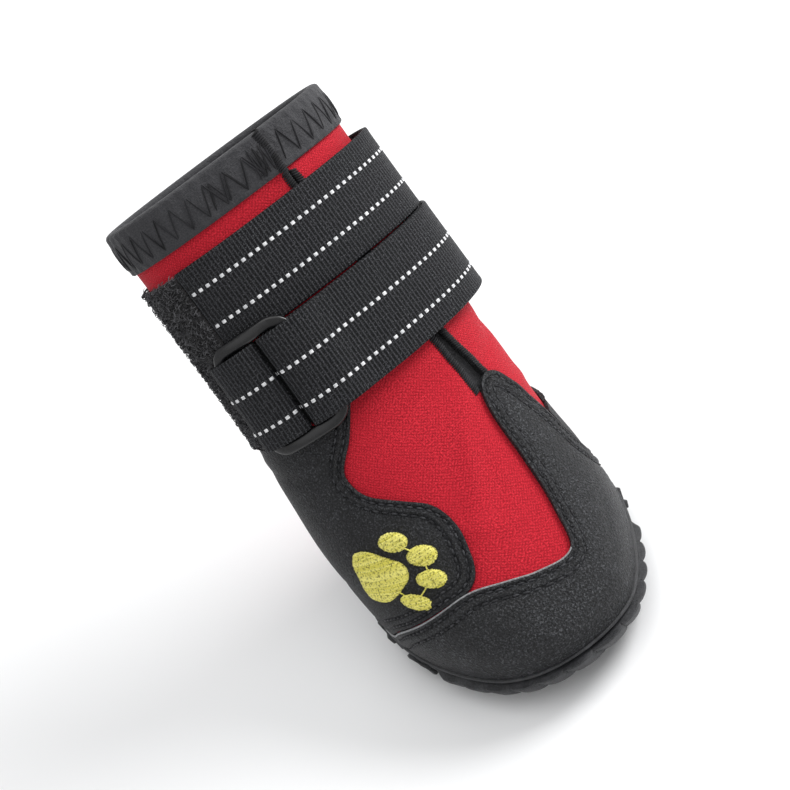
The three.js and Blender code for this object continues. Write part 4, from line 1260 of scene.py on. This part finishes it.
def treadLines():
    share = np.linspace(-1, 1, 40)[None]
    y, half, bow = (np.array(fineLines[key], float)[:, None] for key in ("y", "half", "bow"))
    x = share * half
    place = y - bow * (1 - share ** 2)
    return (np.stack([x, place, 1.35 + lift(place)], -1) - origin) * mm


treadPaths = treadLines()
treadUps = np.broadcast_to([0, 0, 1.0], treadPaths.shape)
treadPiece = threads("outsole_fine_lines", treadPaths, treadUps, 0.4 * mm, sides=8)
dress(treadPiece, rubber, "rubber")
bpy.ops.object.select_all(action="DESELECT")
bpy.ops.mesh.primitive_torus_add(major_segments=64, minor_segments=10, major_radius=8.2,
                                 minor_radius=0.5, location=(0, 0, 0))
moulded("outsole_heel_ring", (1, 0.84, 1), (0, 24.3, 1.45), 0, 60)
print("outsole")


# Insole
bed = dict(low=4.75, high=6.6, gap=0.45)


def insoleBody():
    turnsRound = np.linspace(-180, 180, 120, endpoint=False)
    low, high = bed["low"], bed["high"]
    edge = ((low, 0.15), (low + 0.2, 0), (high - 0.3, 0), (high, 0.3))
    rings = [footPoint(turnsRound, height, -wall - bed["gap"] - inwards) for height, inwards in edge]
    under = [shrunk(rings[0], share, low) for share in (0.02, 0.35, 0.7, 0.9)]
    top = [shrunk(rings[-1], share, high) for share in (0.95, 0.8, 0.5, 0.2, 0.02)]
    return bodyThrough("insole_felt", under + rings + top)


insole = insoleBody()
tidyNormals(insole)
shaded(insole, 40)
dress(insole, feltBed, "footbed", "insole")
print("insole")


# Floor, light and camera
bpy.ops.mesh.primitive_plane_add(size=6, location=(0, 0, 0))
floor = bpy.context.object
floor.name = floor.data.name = "pale_floor"
paint, tree, shader, spot = newFinish("pale_floor", objectMap)
color = blendColor(tree, noise(tree, spot, 3.0), (0.86, 0.865, 0.875), (0.9, 0.905, 0.91))
join(tree, shader, Base_Color=color, Roughness=0.7)
floor.data.materials.append(paint)

scene = bpy.context.scene
scene.view_settings.view_transform = "Standard"
world = scene.world or bpy.data.worlds.new("studio")
scene.world = world
world.use_nodes = True
world.node_tree.nodes["Background"].inputs["Color"].default_value = (1, 1, 1, 1)
world.node_tree.nodes["Background"].inputs["Strength"].default_value = 0.56

# The camera's angle to the shoe comes from the photo; the roll turns the toe to the lower right
view = dict(turn=-12, up=43, roll=-29.5, distance=0.56, lens=104)
viewTurn, viewUp, viewRoll = (math.radians(view[key]) for key in ("turn", "up", "roll"))
sideways = math.cos(viewUp)
back = Vector((math.sin(viewTurn) * sideways, -math.cos(viewTurn) * sideways, math.sin(viewUp)))
eye = Vector((-0.00094, 0.00301, 0.062)) + back * view["distance"]
aim = Vector((0.0, 0.001, 0.0555))
forward = (aim - eye).normalized()
right = forward.cross(Vector((0, 0, 1))).normalized()
up = right.cross(forward)
c, s = math.cos(viewRoll), math.sin(viewRoll)
right, up = right * c + up * s, up * c - right * s
turned = Matrix((right, up, -forward)).transposed().to_4x4()
lens = bpy.data.cameras.new("camera")
camera = bpy.data.objects.new("camera", lens)
scene.collection.objects.link(camera)
camera.matrix_world = Matrix.Translation(eye) @ turned
lens.lens = view["lens"]
lens.sensor_width = 36
lens.clip_start = 0.01
scene.camera = camera

lamps = dict(
    name=["key", "fill", "rim", "front"],
    place=[(0.62, 0.0, 0.5), (-0.55, -0.35, 0.5), (0.1, 0.7, 0.55), (0.0, -0.1, 0.95)],
    size=[0.4, 0.6, 0.5, 0.9],
    power=[5.6, 0.5, 1.4, 2.6],
)
for name, place, size, power in zip(*lamps.values()):
    light = bpy.data.lights.new(name, "AREA")
    light.shape = "DISK"
    light.size = size
    light.energy = power
    lamp = bpy.data.objects.new(name, light)
    scene.collection.objects.link(lamp)
    lamp.location = place
    lamp.rotation_euler = (Vector((0, 0, 0.05)) - Vector(place)).to_track_quat("-Z", "Y").to_euler()
print("light and camera")
